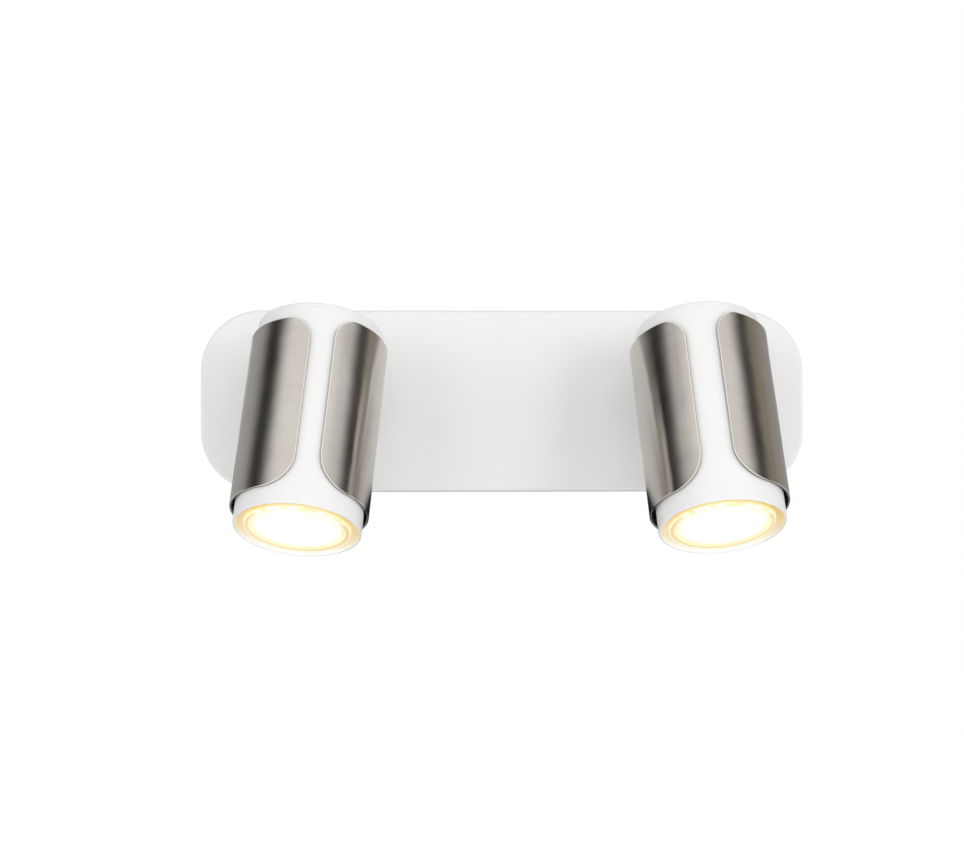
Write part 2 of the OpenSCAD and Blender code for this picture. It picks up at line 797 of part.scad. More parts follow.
// Tube with a rounded mouth edge, and the pressed-in rear cap
module body_tube()
  color(WHITE)
    difference() {
      rotate_extrude()
        union() {
          translate([tube_in_r, -head_l + tube_wall / 2])
            square([tube_wall, head_l - cap_t - tube_wall / 2]);
          translate([tube_r - tube_wall / 2, -head_l + tube_wall / 2]) circle(tube_wall / 2);
        }
      at_nipple() rod_y(0, tube_r + over, nipple_r + loose);
    }

module rear_cap()
  color(WHITE)
    rotate_extrude()
      difference() {
        union() {
          translate([0, -cap_t + seat]) square([tube_r - cap_edge_r, cap_t - seat]);
          translate([0, -cap_t + seat]) square([tube_r, cap_t - seat - cap_edge_r]);
          translate([tube_r - cap_edge_r, -cap_edge_r]) circle(cap_edge_r);
          translate([0, -cap_t - cap_spigot_l]) square([tube_in_r - fit, cap_spigot_l + over]);
        }
        translate([-over, -cap_t - cap_spigot_l - over])
          square([tube_in_r - fit - tube_wall + over, cap_spigot_l + over]);
        translate([-tube_r, -head_l]) square([tube_r, 2 * head_l]);
      }

// Lampholder bracket: a leg under the nipple's nut, bent to a plate behind the lampholder
module holder_bracket()
  color(STEEL)
    difference() {
      rotate([90, 0, 90])
        linear_extrude(leg_w, center = true) {
          translate([leg_in_y, -plate_back - plate_t + bend_r])
            square([leg_t, plate_back + plate_t - bend_r - cap_t - cap_spigot_l - over]);
          translate([leg_out_y - bend_r, -plate_back - plate_t + bend_r])
            intersection() {
              difference() {
                circle(bend_r);
                circle(bend_r - leg_t);
              }
              translate([0, -bend_r]) square(bend_r);
            }
          translate([-holder_h / 2, -plate_back - plate_t])
            square([holder_h / 2 + leg_out_y - bend_r, plate_t]);
        }
      at_nipple() rod_y(leg_in_y - over, leg_out_y + over, nipple_r + fit);
      for (side = SIDES) {
        translate([0, side * holder_screw_y, 0])
          rod_t(plate_back - over, plate_back + plate_t + over, holder_screw_r + fit);
        translate([side * pin_pitch / 2, 0, 0])
          rod_t(plate_back - over, plate_back + plate_t + over, lead_r + loose);
      }
    }

// Curved key slot round the lamp's axis, from the locked place back to where the lamp goes in
module key_slot(t0, t1)
  translate([0, 0, -t1]) {
    rotate([0, 0, -lock_turn])
      rotate_extrude(angle = lock_turn)
        translate([pin_pitch / 2 - pin_neck_r - loose, 0]) square([2 * (pin_neck_r + loose), t1 - t0]);
    for (a = [0, -lock_turn])
      rotate([0, 0, a])
        translate([pin_pitch / 2, 0, 0]) cylinder(h = t1 - t0, r = pin_neck_r + 2 * loose);
  }

// Pocket behind the key slot, where the pin's head swings
module key_pocket(t0, t1) {
  half_w = pin_head_r + 2 * loose;
  end_turn = asin(2 * half_w / pin_pitch);
  translate([0, 0, -t1])
    rotate([0, 0, -lock_turn - end_turn])
      rotate_extrude(angle = lock_turn + 2 * end_turn)
        translate([pin_pitch / 2 - half_w, 0]) square([2 * half_w, t1 - t0]);
}

module lampholder()
  color(PALE)
    difference() {
      translate([0, 0, -holder_front]) rounded_plate(holder_w, holder_h, holder_corner_r, holder_l);
      for (half_turn = [0, 180])
        rotate([0, 0, half_turn]) {
          key_slot(holder_front - holder_wall - over, holder_front + over);
          key_pocket(holder_front - holder_wall - cavity_l, holder_front - holder_wall);
          rotate([0, 0, -lock_turn])
            translate([pin_pitch / 2, 0, 0])
              rod_t(holder_front - holder_wall - over, holder_front + over, pin_head_r + loose);
          translate([pin_pitch / 2, 0, 0])
            rod_t(holder_back - over, holder_front - holder_wall - cavity_l + over, lead_r + loose);
          translate([0, holder_screw_y, 0]) {
            rod_t(holder_back - over, holder_front + over, holder_screw_r + loose);
            rod_t(holder_front - holder_screw_sink, holder_front + over, holder_screw_head_r + loose);
          }
        }
    }

module holder_contacts()
  color(BRASS)
    for (side = SIDES)
      translate([side * pin_pitch / 2, 0, -holder_front + holder_wall + cavity_l - seat - contact_t / 2])
        difference() {
          cube([contact_w, contact_l, contact_t], center = true);
          cylinder(h = 2 * over, r = core_r + fit, center = true);
        }

module holder_screws()
  color(STEEL)
    for (side = SIDES)
      translate([0, side * holder_screw_y, 0]) {
        rod_t(plate_back - over, holder_front - holder_screw_sink + seat, holder_screw_r);
        difference() {
          rod_t(holder_front - holder_screw_sink + seat,
                holder_front - holder_screw_sink + seat + holder_screw_head_t, holder_screw_head_r);
          translate([0, 0, -holder_front + holder_screw_sink - seat - holder_screw_head_t])
            cube([3 * holder_screw_head_r, screw_slot_w, 2 * screw_recess], center = true);
        }
      }

module head_leads()
  color(PALE)
    for (side = SIDES)
      wire([[side * pair_half, nipple_end_y + thread_spare, -nipple_back],
            [side * pair_half, nipple_end_y - lead_run, -nipple_back],
            [side * pin_pitch / 2, 0, -plate_back + lead_rise],
            [side * pin_pitch / 2, 0, -holder_front + holder_wall + cavity_l]], lead_bend_r, lead_r,
           contact_t + seat);

// Lamp: a flared glass reflector with a front glass, on a round base with two headed pins
tail_r = lamp_base_r + tail_step;
function flare_r(u) = tail_r + (lamp_r - rim_step - tail_r) * (1 - pow(u, flare_bow));
function flare_points(shrink) =
  [for (i = [0 : flare_steps])
    [flare_r(i / flare_steps) - shrink, -lamp_face + rim_l + (reflector_l - rim_l) * i / flare_steps]];

module lamp_reflector()
  color(PALE)
    rotate_extrude()
      difference() {
        union() {
          polygon(concat([[0, -lamp_face + rim_l]], flare_points(0), [[0, -lamp_face + reflector_l]]));
          translate([0, -lamp_face + rim_edge_r]) square([lamp_r, rim_l - rim_edge_r]);
          translate([0, -lamp_face]) square([lamp_r - rim_edge_r, rim_l]);
          translate([lamp_r - rim_edge_r, -lamp_face + rim_edge_r]) circle(rim_edge_r);
        }
        polygon(concat([[-over, -lamp_face + rim_l - over], [lens_r - ledge_w, -lamp_face + rim_l - over]],
                       flare_points(reflector_wall), [[-over, -lamp_face + reflector_l + over]]));
        translate([-over, -lamp_face - over]) square([lens_r + fit + over, lens_sink + lens_t + over]);
      }

module lamp_lens()
  color("lightyellow")
    rotate_extrude()
      difference() {
        translate([0, -lamp_face + lens_sink + seat]) square([lens_r, lens_t - 2 * seat]);
        translate([lens_ring_r, -lamp_face + lens_sink]) square([lens_ring_w, lens_ring_h]);
      }

module lamp_base()
  color(PALE)
    difference() {
      rotate_extrude()
        difference() {
          polygon([[0, -lamp_face + lamp_l], [lamp_base_r - base_chamfer, -lamp_face + lamp_l],
                   [lamp_base_r, -lamp_face + lamp_l - base_chamfer],
                   [lamp_base_r, -lamp_face + reflector_l + base_collar_l],
                   [base_collar_r, -lamp_face + reflector_l],
                   [base_collar_r, -lamp_face + reflector_l - base_collar_l],
                   [0, -lamp_face + reflector_l - base_collar_l]]);
          polygon(concat([[-over, -lamp_face + rim_l]], flare_points(-seat),
                         [[-over, -lamp_face + reflector_l + seat]]));
        }
      for (side = SIDES)
        translate([side * pin_pitch / 2, 0, 0])
          rod_t(lamp_face - lamp_l - over, lamp_face - lamp_l + pin_root + seat, pin_neck_r + seat);
    }

module lamp_pins()
  color(BRASS)
    for (side = SIDES)
      translate([side * pin_pitch / 2, 0, 0]) {
        rod_t(pin_tip, pin_tip + pin_head_l, pin_head_r);
        rod_t(pin_tip + pin_head_l, lamp_face - lamp_l + pin_root, pin_neck_r);
      }

// Each name draws one sub-part
canopy();
mounting_bracket();
end_bushes();
side_screws();
terminal_block();
terminal_inserts();
terminal_screws();
terminal_fixing_screw();
earth_screw();
earth_lug();
earth_lead();
feed_leads(LEFT);  // left_feed_leads
feed_leads(RIGHT);  // right_feed_leads
at_swivel(LEFT) swivel_base();  // left_swivel_base
at_swivel(RIGHT) swivel_base();  // right_swivel_base
at_swivel(LEFT) friction_washer();  // left_friction_washer
at_swivel(RIGHT) friction_washer();  // right_friction_washer
at_swivel(LEFT) spring_washer();  // left_spring_washer
at_swivel(RIGHT) spring_washer();  // right_spring_washer
at_swivel(LEFT) stub_nut();  // left_stub_nut
at_swivel(RIGHT) stub_nut();  // right_stub_nut
at_hinge(LEFT) hinge_screw();  // left_hinge_screw
at_hinge(RIGHT) hinge_screw();  // right_hinge_screw
at_hinge(LEFT) hinge_nut();  // left_hinge_nut
at_hinge(RIGHT) hinge_nut();  // right_hinge_nut
at_hinge(LEFT) hinge_disc();  // left_hinge_disc
at_hinge(RIGHT) hinge_disc();  // right_hinge_disc
at_hinge(LEFT) head_arm(LEFT);  // left_head_arm
at_hinge(RIGHT) head_arm(RIGHT);  // right_head_arm
at_head(LEFT) saddle(LEFT);  // left_saddle
at_head(RIGHT) saddle(RIGHT);  // right_saddle
at_head(LEFT) sleeve(LEFT);  // left_sleeve
at_head(RIGHT) sleeve(RIGHT);  // right_sleeve
at_head(LEFT) sleeve_spacer(LEFT);  // left_sleeve_spacer
at_head(RIGHT) sleeve_spacer(RIGHT);  // right_sleeve_spacer
at_head(LEFT) nipple_nut();  // left_nipple_nut
at_head(RIGHT) nipple_nut();  // right_nipple_nut
at_head(LEFT) body_tube();  // left_body_tube
at_head(RIGHT) body_tube();  // right_body_tube
at_head(LEFT) rear_cap();  // left_rear_cap
at_head(RIGHT) rear_cap();  // right_rear_cap
at_head(LEFT) holder_bracket();  // left_holder_bracket
at_head(RIGHT) holder_bracket();  // right_holder_bracket
at_head(LEFT) lampholder();  // left_lampholder
at_head(RIGHT) lampholder();  // right_lampholder
at_head(LEFT) holder_contacts();  // left_holder_contacts
at_head(RIGHT) holder_contacts();  // right_holder_contacts
at_head(LEFT) holder_screws();  // left_holder_screws
at_head(RIGHT) holder_screws();  // right_holder_screws
at_head(LEFT) head_leads();  // left_head_leads
at_head(RIGHT) head_leads();  // right_head_leads
at_head(LEFT) lamp_reflector();  // left_lamp_reflector
at_head(RIGHT) lamp_reflector();  // right_lamp_reflector
at_head(LEFT) lamp_base();  // left_lamp_base
at_head(RIGHT) lamp_base();  // right_lamp_base
at_head(LEFT) lamp_lens();  // left_lamp_lens
at_head(RIGHT) lamp_lens();  // right_lamp_lens
at_head(LEFT) lamp_pins();  // left_lamp_pins
at_head(RIGHT) lamp_pins();  // right_lamp_pins
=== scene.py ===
# Twin spotlight: finishes, fine parts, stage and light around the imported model, in metres
# Geometry Nodes roll the sleeves, cut the threads and press the pattern of the front glasses
import json
import math

import bpy
from mathutils import Matrix, Vector
from mathutils.geometry import delaunay_2d_cdt


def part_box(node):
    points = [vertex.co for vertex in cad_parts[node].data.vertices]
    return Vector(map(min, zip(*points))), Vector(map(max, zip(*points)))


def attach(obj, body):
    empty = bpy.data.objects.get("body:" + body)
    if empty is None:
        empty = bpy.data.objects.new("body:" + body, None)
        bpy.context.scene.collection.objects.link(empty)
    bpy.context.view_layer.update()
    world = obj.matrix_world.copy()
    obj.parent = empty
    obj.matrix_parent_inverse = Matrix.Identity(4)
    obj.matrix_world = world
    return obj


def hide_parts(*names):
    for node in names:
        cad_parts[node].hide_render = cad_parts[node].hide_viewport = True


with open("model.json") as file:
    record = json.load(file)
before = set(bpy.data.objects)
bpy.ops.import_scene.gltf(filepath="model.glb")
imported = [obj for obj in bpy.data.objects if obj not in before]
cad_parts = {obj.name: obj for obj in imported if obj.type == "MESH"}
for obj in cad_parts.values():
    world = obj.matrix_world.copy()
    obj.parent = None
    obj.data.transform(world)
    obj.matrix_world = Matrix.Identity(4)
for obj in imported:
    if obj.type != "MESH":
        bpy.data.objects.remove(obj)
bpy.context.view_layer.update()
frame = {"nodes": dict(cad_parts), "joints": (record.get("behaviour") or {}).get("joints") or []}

MM = 0.001
NODES = frame["nodes"]
SIDES = ("left", "right")
BLACK = (0.0, 0.0, 0.0)
PURE_WHITE = (1.0, 1.0, 1.0)

# Sizes that part.scad also gives, in millimetres and degrees
AXIS_OFFSET = 45.5
NIPPLE_BACK = 13.25
NIPPLE_R = 5.0
HEAD_L = 104.0
TUBE_IN_R = 28.8
SLEEVE_R = {"left": 32.5, "right": 33.1}
SLEEVE_TURN = {"left": 3.0, "right": -4.0}
SLEEVE_SHIFT = {"left": 1.3, "right": 1.9}
SLEEVE_BACK = {"left": 7.5, "right": 6.75}
SLEEVE_L = 87.0
SLEEVE_BLANK_W = 193.0
SLEEVE_T = 0.9
FLAP_BACK_R = 11.5
FLAP_FRONT_R = 16.0
NOTCH_HALF = 5.2
LAMP_FACE = 103.7

# The pitch of the stubs' thread, whose solids are plain
THREAD_PITCH = 0.75
# The sleeves rolled a little out of square, as the slots in the photograph lean
SLEEVE_SKEW = {"left": 0.011, "right": 0.009}
# How far a sheet waves out of true
SLEEVE_SPRING = 0.35
# The flaps stand off the tube at their edges: where each flap's lift starts on the blank, and how high it goes
FLAP_LIFT = {"left": ((89.0, 0.4), (89.0, 0.4)), "right": ((74.0, 0.45), (89.0, 0.4))}

# The mesh of a sleeve's blank, in millimetres: its edge rounding, the run along its edge, the flat margin
# beside the edge, how far the grid inside keeps off the edge, and the grid's columns and rows
EDGE_R = 0.25
EDGE_RUN = 1.6
EDGE_MARGIN = 0.6
GRID_KEEP_OFF = 1.5
GRID_COLUMN = 1.7
GRID_ROWS = 44

# The pressed pattern of a front glass, in millimetres
PATTERN_R = 19.6
DOME_PITCH = 1.7
DOME_R = 0.95
DOME_HEIGHT = 0.3
DOMES_ACROSS = 27
# How far behind the lamp's rim the domes sit, a hair under the face of the front glass
DOMES_BACK = 0.45


# Frames of the two heads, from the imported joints

def joint(name):
    return next(j for j in frame["joints"] if j["name"] == name)


def head_frame(side):
    """Across the head, towards the swivel, and back along its middle line; origin at the back end."""
    hinge = Vector(joint(side + "_tilt")["pos_m"])
    across = -Vector(joint(side + "_tilt")["axis"]).normalized()
    forward = Vector(joint(side + "_lamp_twist")["axis"]).normalized()
    towards = across.cross(forward).normalized()
    if towards.y < 0:
        towards = -towards
    origin = hinge - towards * AXIS_OFFSET * MM - forward * NIPPLE_BACK * MM
    turn = Matrix((across, towards, -forward)).transposed()
    return Matrix.Translation(origin) @ turn.to_4x4()


HEAD = {side: head_frame(side) for side in SIDES}


# Node trees

def add(tree, kind, inputs=None, **settings):
    """A node with its settings made and its inputs linked or filled in."""
    made = tree.nodes.new(kind)
    for key, value in settings.items():
        setattr(made, key, value)
    for key, value in (inputs or {}).items():
        socket = made.inputs[key]
        if isinstance(value, bpy.types.NodeSocket):
            tree.links.new(value, socket)
        else:
            socket.default_value = value
    return made


def calc(tree, operation, a, b=0.0):
    return add(tree, "ShaderNodeMath", {0: a, 1: b}, operation=operation).outputs[0]


def ramp(tree, value, stops):
    """A colour ramp; each stop is a place and a grey or a colour."""
    made = add(tree, "ShaderNodeValToRGB", {0: value})
    band = made.color_ramp
    while len(band.elements) < len(stops):
        band.elements.new(0.5)
    for element, (place, shade) in zip(band.elements, stops):
        element.position = place
        if isinstance(shade, (int, float)):
            shade = (shade, shade, shade)
        element.color = (*shade, 1.0)
    return made.outputs[0]


def ramp_over(tree, value, low, high, stops):
    """A colour ramp whose stops are written in the value's own unit, from low to high."""
    share = between(tree, value, low, high, 0.0, 1.0)
    return ramp(tree, share, [((place - low) / (high - low), shade) for place, shade in stops])


def mixed(tree, share, a, b, mode="MIX"):
    made = add(tree, "ShaderNodeMix", data_type="RGBA", blend_type=mode)
    for socket, value in ((made.inputs[0], share), (made.inputs[6], a), (made.inputs[7], b)):
        if isinstance(value, bpy.types.NodeSocket):
            tree.links.new(value, socket)
        elif isinstance(value, (int, float)):
            socket.default_value = value
        else:
            socket.default_value = (*value, 1.0)
    return made.outputs[2]


def split(tree, vector):
    return add(tree, "ShaderNodeSeparateXYZ", {0: vector}).outputs


def object_place(tree):
    return add(tree, "ShaderNodeTexCoord").outputs["Object"]


def noise(tree, place, scale, detail=2.0, rough=0.5):
    inputs = {"Vector": place, "Scale": scale, "Detail": detail, "Roughness": rough}
    return add(tree, "ShaderNodeTexNoise", inputs).outputs["Fac"]


def between(tree, value, low, high, out_low, out_high):
    """The value carried from one range to another, and held at the ends."""
    inputs = {0: value, 1: low, 2: high, 3: out_low, 4: out_high}
    return add(tree, "ShaderNodeMapRange", inputs).outputs[0]


def bump(tree, height, strength, depth_mm):
    inputs = {"Height": height, "Strength": strength, "Distance": depth_mm * MM}
    return add(tree, "ShaderNodeBump", inputs).outputs[0]


def length_of(tree, vector):
    return add(tree, "ShaderNodeVectorMath", {0: vector}, operation="LENGTH").outputs["Value"]


def shaded(colour, share):
    return tuple(c * share for c in colour)


def finish(name, **settings):
    """A material with its surface shader; the settings are the shader's own sockets."""
    made = bpy.data.materials.new(name)
    made.use_nodes = True
    tree = made.node_tree
    surface = tree.nodes["Principled BSDF"]
    for key, value in settings.items():
        socket = surface.inputs[key.replace("_", " ")]
        socket.default_value = (*value, 1.0) if isinstance(value, tuple) else value
    return made, tree, surface


def wear(tree, surface, **sockets):
    """Links the given outputs to the surface shader's sockets."""
    for key, output in sockets.items():
        tree.links.new(output, surface.inputs[key.replace("_", " ")])


def head_place(tree, side):
    """Where a point is in a head, its distance from the middle line and its distance back from the mouth, all in
    millimetres."""
    inverse = {"Vector": object_place(tree), "Location": HEAD[side].translation,
               "Rotation": HEAD[side].to_euler(), "Scale": (MM, MM, MM)}
    local = add(tree, "ShaderNodeMapping", inverse, vector_type="TEXTURE").outputs[0]
    x, y, z = split(tree, local)
    radius = calc(tree, "SQRT", calc(tree, "ADD", calc(tree, "MULTIPLY", x, x), calc(tree, "MULTIPLY", y, y)))
    depth = calc(tree, "ADD", z, HEAD_L)
    return local, radius, depth


def wallward_share(tree, local, radius):
    """How far round a head a point is towards the wall: 1 on the wall side, -1 on the room side."""
    return calc(tree, "DIVIDE", split(tree, local)[1], radius)


# Finishes

# Painted lamp light on the paint inside a mouth: on the room side and on the wall side, and how it fades with
# depth
PAINTED_LAMPLIGHT_ROOMWARD = (0.15, 0.11, 0.0)
PAINTED_LAMPLIGHT_WALLWARD = (0.32, 0.40, 0.44)
PAINTED_LAMPLIGHT_FADE = [(0.0, 0.7), (5.4, 1.0), (12.0, 1.0), (30.0, 0.0)]

# Rings of the front glass: radius and light
GLASS_RINGS = [
    (0.0, (1.15, 1.14, 1.05)), (13.0, (1.12, 1.11, 1.0)), (16.0, (1.08, 1.06, 0.86)),
    (19.0, (1.06, 1.04, 0.84)), (20.2, (1.0, 0.98, 0.82)), (20.9, (0.92, 0.86, 0.60)),
    (21.5, (0.90, 0.81, 0.50)), (22.0, (0.93, 0.86, 0.60)), (25.0, (0.93, 0.82, 0.52))]
# Rings of the lamp's rim: radius and light
RIM_RINGS = [
    (22.0, (0.92, 0.80, 0.46)), (22.9, (0.86, 0.70, 0.38)), (23.5, (0.78, 0.60, 0.31)),
    (24.0, (0.78, 0.61, 0.33)), (24.6, (0.88, 0.76, 0.48)), (25.0, (0.98, 0.92, 0.68))]
# The rim on the room side: gold glass with nearly white spots
RIM_SPOTS = [(0.46, (1.0, 0.84, 0.44)), (0.58, (1.25, 1.22, 1.05))]
# The lamp's flank: depth behind the mouth and light, near its rim and further in
FLANK_NEAR = [
    (0.0, (1.1, 1.05, 0.80)), (0.6, (1.0, 0.95, 0.66)), (1.2, (0.93, 0.80, 0.42)),
    (1.8, (0.86, 0.68, 0.27)), (2.6, (0.70, 0.50, 0.18)), (4.0, (0.70, 0.50, 0.20))]
FLANK_DEEP = [(4.5, (0.80, 0.54, 0.20)), (13.5, (0.78, 0.45, 0.12)), (30.0, (0.25, 0.12, 0.03))]
FLANK_PATCH = (1.0, 0.68, 0.26)

# Painted highlight on a sleeve's rounded edge, and painted shade on its cut side
PAINTED_EDGE_HIGHLIGHT = (0.90, 0.86, 0.80)
PAINTED_CUT_SHADE = (0.20, 0.18, 0.15)


def powder_paint(name, colour, gloss, grain_mm, side=None):
    """Sprayed powder paint: fine orange peel, a gloss that varies a little, hardly any colour change.

    Inside the mouth of a head's tube the paint also carries painted lamp light, an emission that stands in for
    the burning lamp's light on the wall."""
    made, tree, surface = finish(name, Roughness=gloss)
    place = object_place(tree)
    peel = noise(tree, place, 1000 / grain_mm, 2.0)
    cloud = noise(tree, place, 28.0, 3.0)
    dust = noise(tree, place, 2600.0, 1.0)
    rough = calc(tree, "ADD", between(tree, cloud, 0.3, 0.7, gloss - 0.04, gloss + 0.04),
                 between(tree, dust, 0.3, 0.7, -0.02, 0.02))
    wear(tree, surface, Base_Color=mixed(tree, cloud, shaded(colour, 0.988), shaded(colour, 1.012)),
         Roughness=rough, Normal=bump(tree, peel, 0.35, 0.02))
    if side:
        # Painted lamp light: emission on the tube's inner wall, warm on the room side, paler on the wall side,
        # fading with depth
        local, radius, depth = head_place(tree, side)
        turned = between(tree, wallward_share(tree, local, radius), 0.2, 0.85, 0.0, 1.0)
        painted_lamplight = mixed(tree, turned, PAINTED_LAMPLIGHT_ROOMWARD, PAINTED_LAMPLIGHT_WALLWARD)
        inner = between(tree, radius, TUBE_IN_R + 0.05, TUBE_IN_R + 0.15, 1.0, 0.0)
        painted_lamplight_reach = calc(tree, "MULTIPLY", inner, ramp_over(tree, depth, 0.0, 30.0, PAINTED_LAMPLIGHT_FADE))
        wear(tree, surface, Emission_Color=mixed(tree, painted_lamplight_reach, BLACK, painted_lamplight))
        surface.inputs["Emission Strength"].default_value = 1.0
    return made


def rolled_metal(name, colour, rough):
    """Brushed nickel plate: the brush ran round the sleeve, so the streaks follow the sheet's own map."""
    made, tree, surface = finish(name, Metallic=1.0, Anisotropic=0.92, IOR=1.6)
    sheet = add(tree, "ShaderNodeUVMap", uv_map="sheet").outputs[0]
    streak_place = add(tree, "ShaderNodeMapping", {"Vector": sheet, "Scale": (2600.0, 40.0, 1.0)}).outputs[0]
    fine_place = add(tree, "ShaderNodeMapping", {"Vector": sheet, "Scale": (6500.0, 300.0, 1.0)}).outputs[0]
    streak = noise(tree, streak_place, 1.0, 2.0, 0.5)
    fine = noise(tree, fine_place, 1.0, 2.0, 0.6)
    both = calc(tree, "ADD", calc(tree, "MULTIPLY", streak, 0.4), calc(tree, "MULTIPLY", fine, 0.6))

    tint = mixed(tree, between(tree, both, 0.35, 0.65, 0.0, 1.0), shaded(colour, 0.95), shaded(colour, 1.05))
    fingered = ramp(tree, noise(tree, sheet, 60.0, 3.0), [(0.3, 0.94), (0.7, 1.0)])
    patchy = mixed(tree, 1.0, tint, fingered, "MULTIPLY")
    # The edge attribute is 1 on the rounded edge, which gets a painted highlight, and -1 on the cut side, which
    # gets painted shade
    edge = add(tree, "ShaderNodeAttribute", attribute_name="edge").outputs["Fac"]
    painted_highlight_edge = mixed(tree, between(tree, edge, 0.0, 1.0, 0.0, 1.0), patchy, PAINTED_EDGE_HIGHLIGHT)
    with_painted_cut_shade = mixed(tree, between(tree, edge, -1.0, 0.0, 1.0, 0.0), painted_highlight_edge, PAINTED_CUT_SHADE)

    cloud = noise(tree, sheet, 45.0, 2.0)
    shine = calc(tree, "ADD", between(tree, both, 0.3, 0.7, rough - 0.015, rough + 0.02),
                 between(tree, cloud, 0.3, 0.7, -0.015, 0.015))
    dent = bump(tree, noise(tree, sheet, 70.0, 1.0), 1.0, 0.12)
    brushed = add(tree, "ShaderNodeBump", {
        "Height": both, "Strength": 0.1, "Distance": 0.02 * MM, "Normal": dent}).outputs[0]
    tangent = add(tree, "ShaderNodeTangent", direction_type="UV_MAP", uv_map="sheet").outputs[0]
    wear(tree, surface, Base_Color=with_painted_cut_shade, Roughness=shine, Normal=brushed, Tangent=tangent)
    return made


def spangled_zinc(name):
    """Hot-dipped sheet: flat crystals a few millimetres wide, each with its own shade."""
    made, tree, surface = finish(name, Metallic=1.0)
    place = object_place(tree)
    ragged = add(tree, "ShaderNodeTexNoise", {"Vector": place, "Scale": 180.0}).outputs["Color"]
    bent = mixed(tree, 0.012, place, ragged)
    crystal = add(tree, "ShaderNodeTexVoronoi", {"Vector": bent, "Scale": 210.0}).outputs["Color"]
    shade = add(tree, "ShaderNodeSeparateColor", {0: crystal}).outputs[0]
    wear(tree, surface, Base_Color=mixed(tree, shade, (0.50, 0.52, 0.54), (0.68, 0.69, 0.70)),
         Roughness=between(tree, shade, 0.0, 1.0, 0.32, 0.5),
         Normal=bump(tree, noise(tree, place, 900.0), 0.2, 0.01))
    return made


def turned_metal(name, colour, rough, scratch=1500.0):
    """Small turned or pressed metal parts: tool marks, dull specks and fingered patches."""
    made, tree, surface = finish(name, Metallic=1.0)
    place = object_place(tree)
    marks = noise(tree, place, scratch, 3.0, 0.7)
    patch = between(tree, noise(tree, place, 160.0, 2.0), 0.35, 0.75, 0.0, 0.8)
    wear(tree, surface, Base_Color=mixed(tree, patch, colour, shaded(colour, 0.82)),
         Roughness=between(tree, marks, 0.2, 0.8, rough - 0.08, rough + 0.12),
         Normal=bump(tree, marks, 0.25, 0.01))
    return made


def moulded_plastic(name, colour, rough, through=0.0):
    """Moulded plastic: a fine spark texture and slow flow marks."""
    made, tree, surface = finish(name, Subsurface_Weight=through, Subsurface_Scale=2.0 * MM)
    place = object_place(tree)
    spark = noise(tree, place, 2200.0, 1.0)
    flow = between(tree, noise(tree, place, 90.0, 3.0), 0.35, 0.7, 0.0, 1.0)
    wear(tree, surface, Base_Color=mixed(tree, flow, colour, shaded(colour, 0.92)),
         Roughness=between(tree, spark, 0.3, 0.7, rough - 0.05, rough + 0.07),
         Normal=bump(tree, spark, 0.3, 0.015))
    return made


def steatite(name):
    """Fired ceramic: cream, dry, with darker specks."""
    made, tree, surface = finish(name)
    place = object_place(tree)
    speck = add(tree, "ShaderNodeTexVoronoi", {"Vector": place, "Scale": 900.0}).outputs["Distance"]
    cloud = noise(tree, place, 120.0, 3.0)
    body = mixed(tree, cloud, (0.80, 0.76, 0.68), (0.86, 0.83, 0.76))
    specked = mixed(tree, between(tree, speck, 0.0, 0.16, 0.5, 0.0), body, (0.45, 0.38, 0.30))
    wear(tree, surface, Base_Color=specked, Roughness=between(tree, cloud, 0.3, 0.7, 0.55, 0.72),
         Normal=bump(tree, noise(tree, place, 1600.0), 0.4, 0.02))
    return made


def wire_skin(name, first, second, stripe=0.0):
    """Wire insulation: stripes along the wire, or one colour below and one above the middle of the plate."""
    made, tree, surface = finish(name)
    place = object_place(tree)
    x, _, z = split(tree, place)
    if stripe:
        slant = calc(tree, "MULTIPLY", calc(tree, "ADD", x, z), stripe)
        pick = calc(tree, "GREATER_THAN", calc(tree, "SINE", slant), 0.0)
    else:
        pick = calc(tree, "GREATER_THAN", z, 0.0)
    rubbed = between(tree, noise(tree, place, 300.0, 2.0), 0.4, 0.8, 0.0, 0.15)
    wear(tree, surface, Base_Color=mixed(tree, rubbed, mixed(tree, pick, first, second), (0.5, 0.5, 0.48)),
         Roughness=between(tree, noise(tree, place, 700.0), 0.3, 0.7, 0.34, 0.5),
         Normal=bump(tree, noise(tree, place, 1200.0), 0.15, 0.01))
    return made


def lit_front_glass(side):
    """Front glass of the burning lamp: white in the middle, with cream and tan rings towards its edge."""
    made, tree, surface = finish("front_glass_" + side, Base_Color=(0.05, 0.05, 0.045), Roughness=0.25,
                                 Emission_Strength=1.0)
    local, radius, _ = head_place(tree, side)
    mottle = noise(tree, local, 0.3, 2.0)
    uneven = calc(tree, "ADD", radius, between(tree, mottle, 0.3, 0.7, -0.6, 0.6))
    wear(tree, surface, Emission_Color=ramp_over(tree, uneven, 0.0, 25.0, GLASS_RINGS),
         Normal=bump(tree, mottle, 0.2, 0.05))
    return made


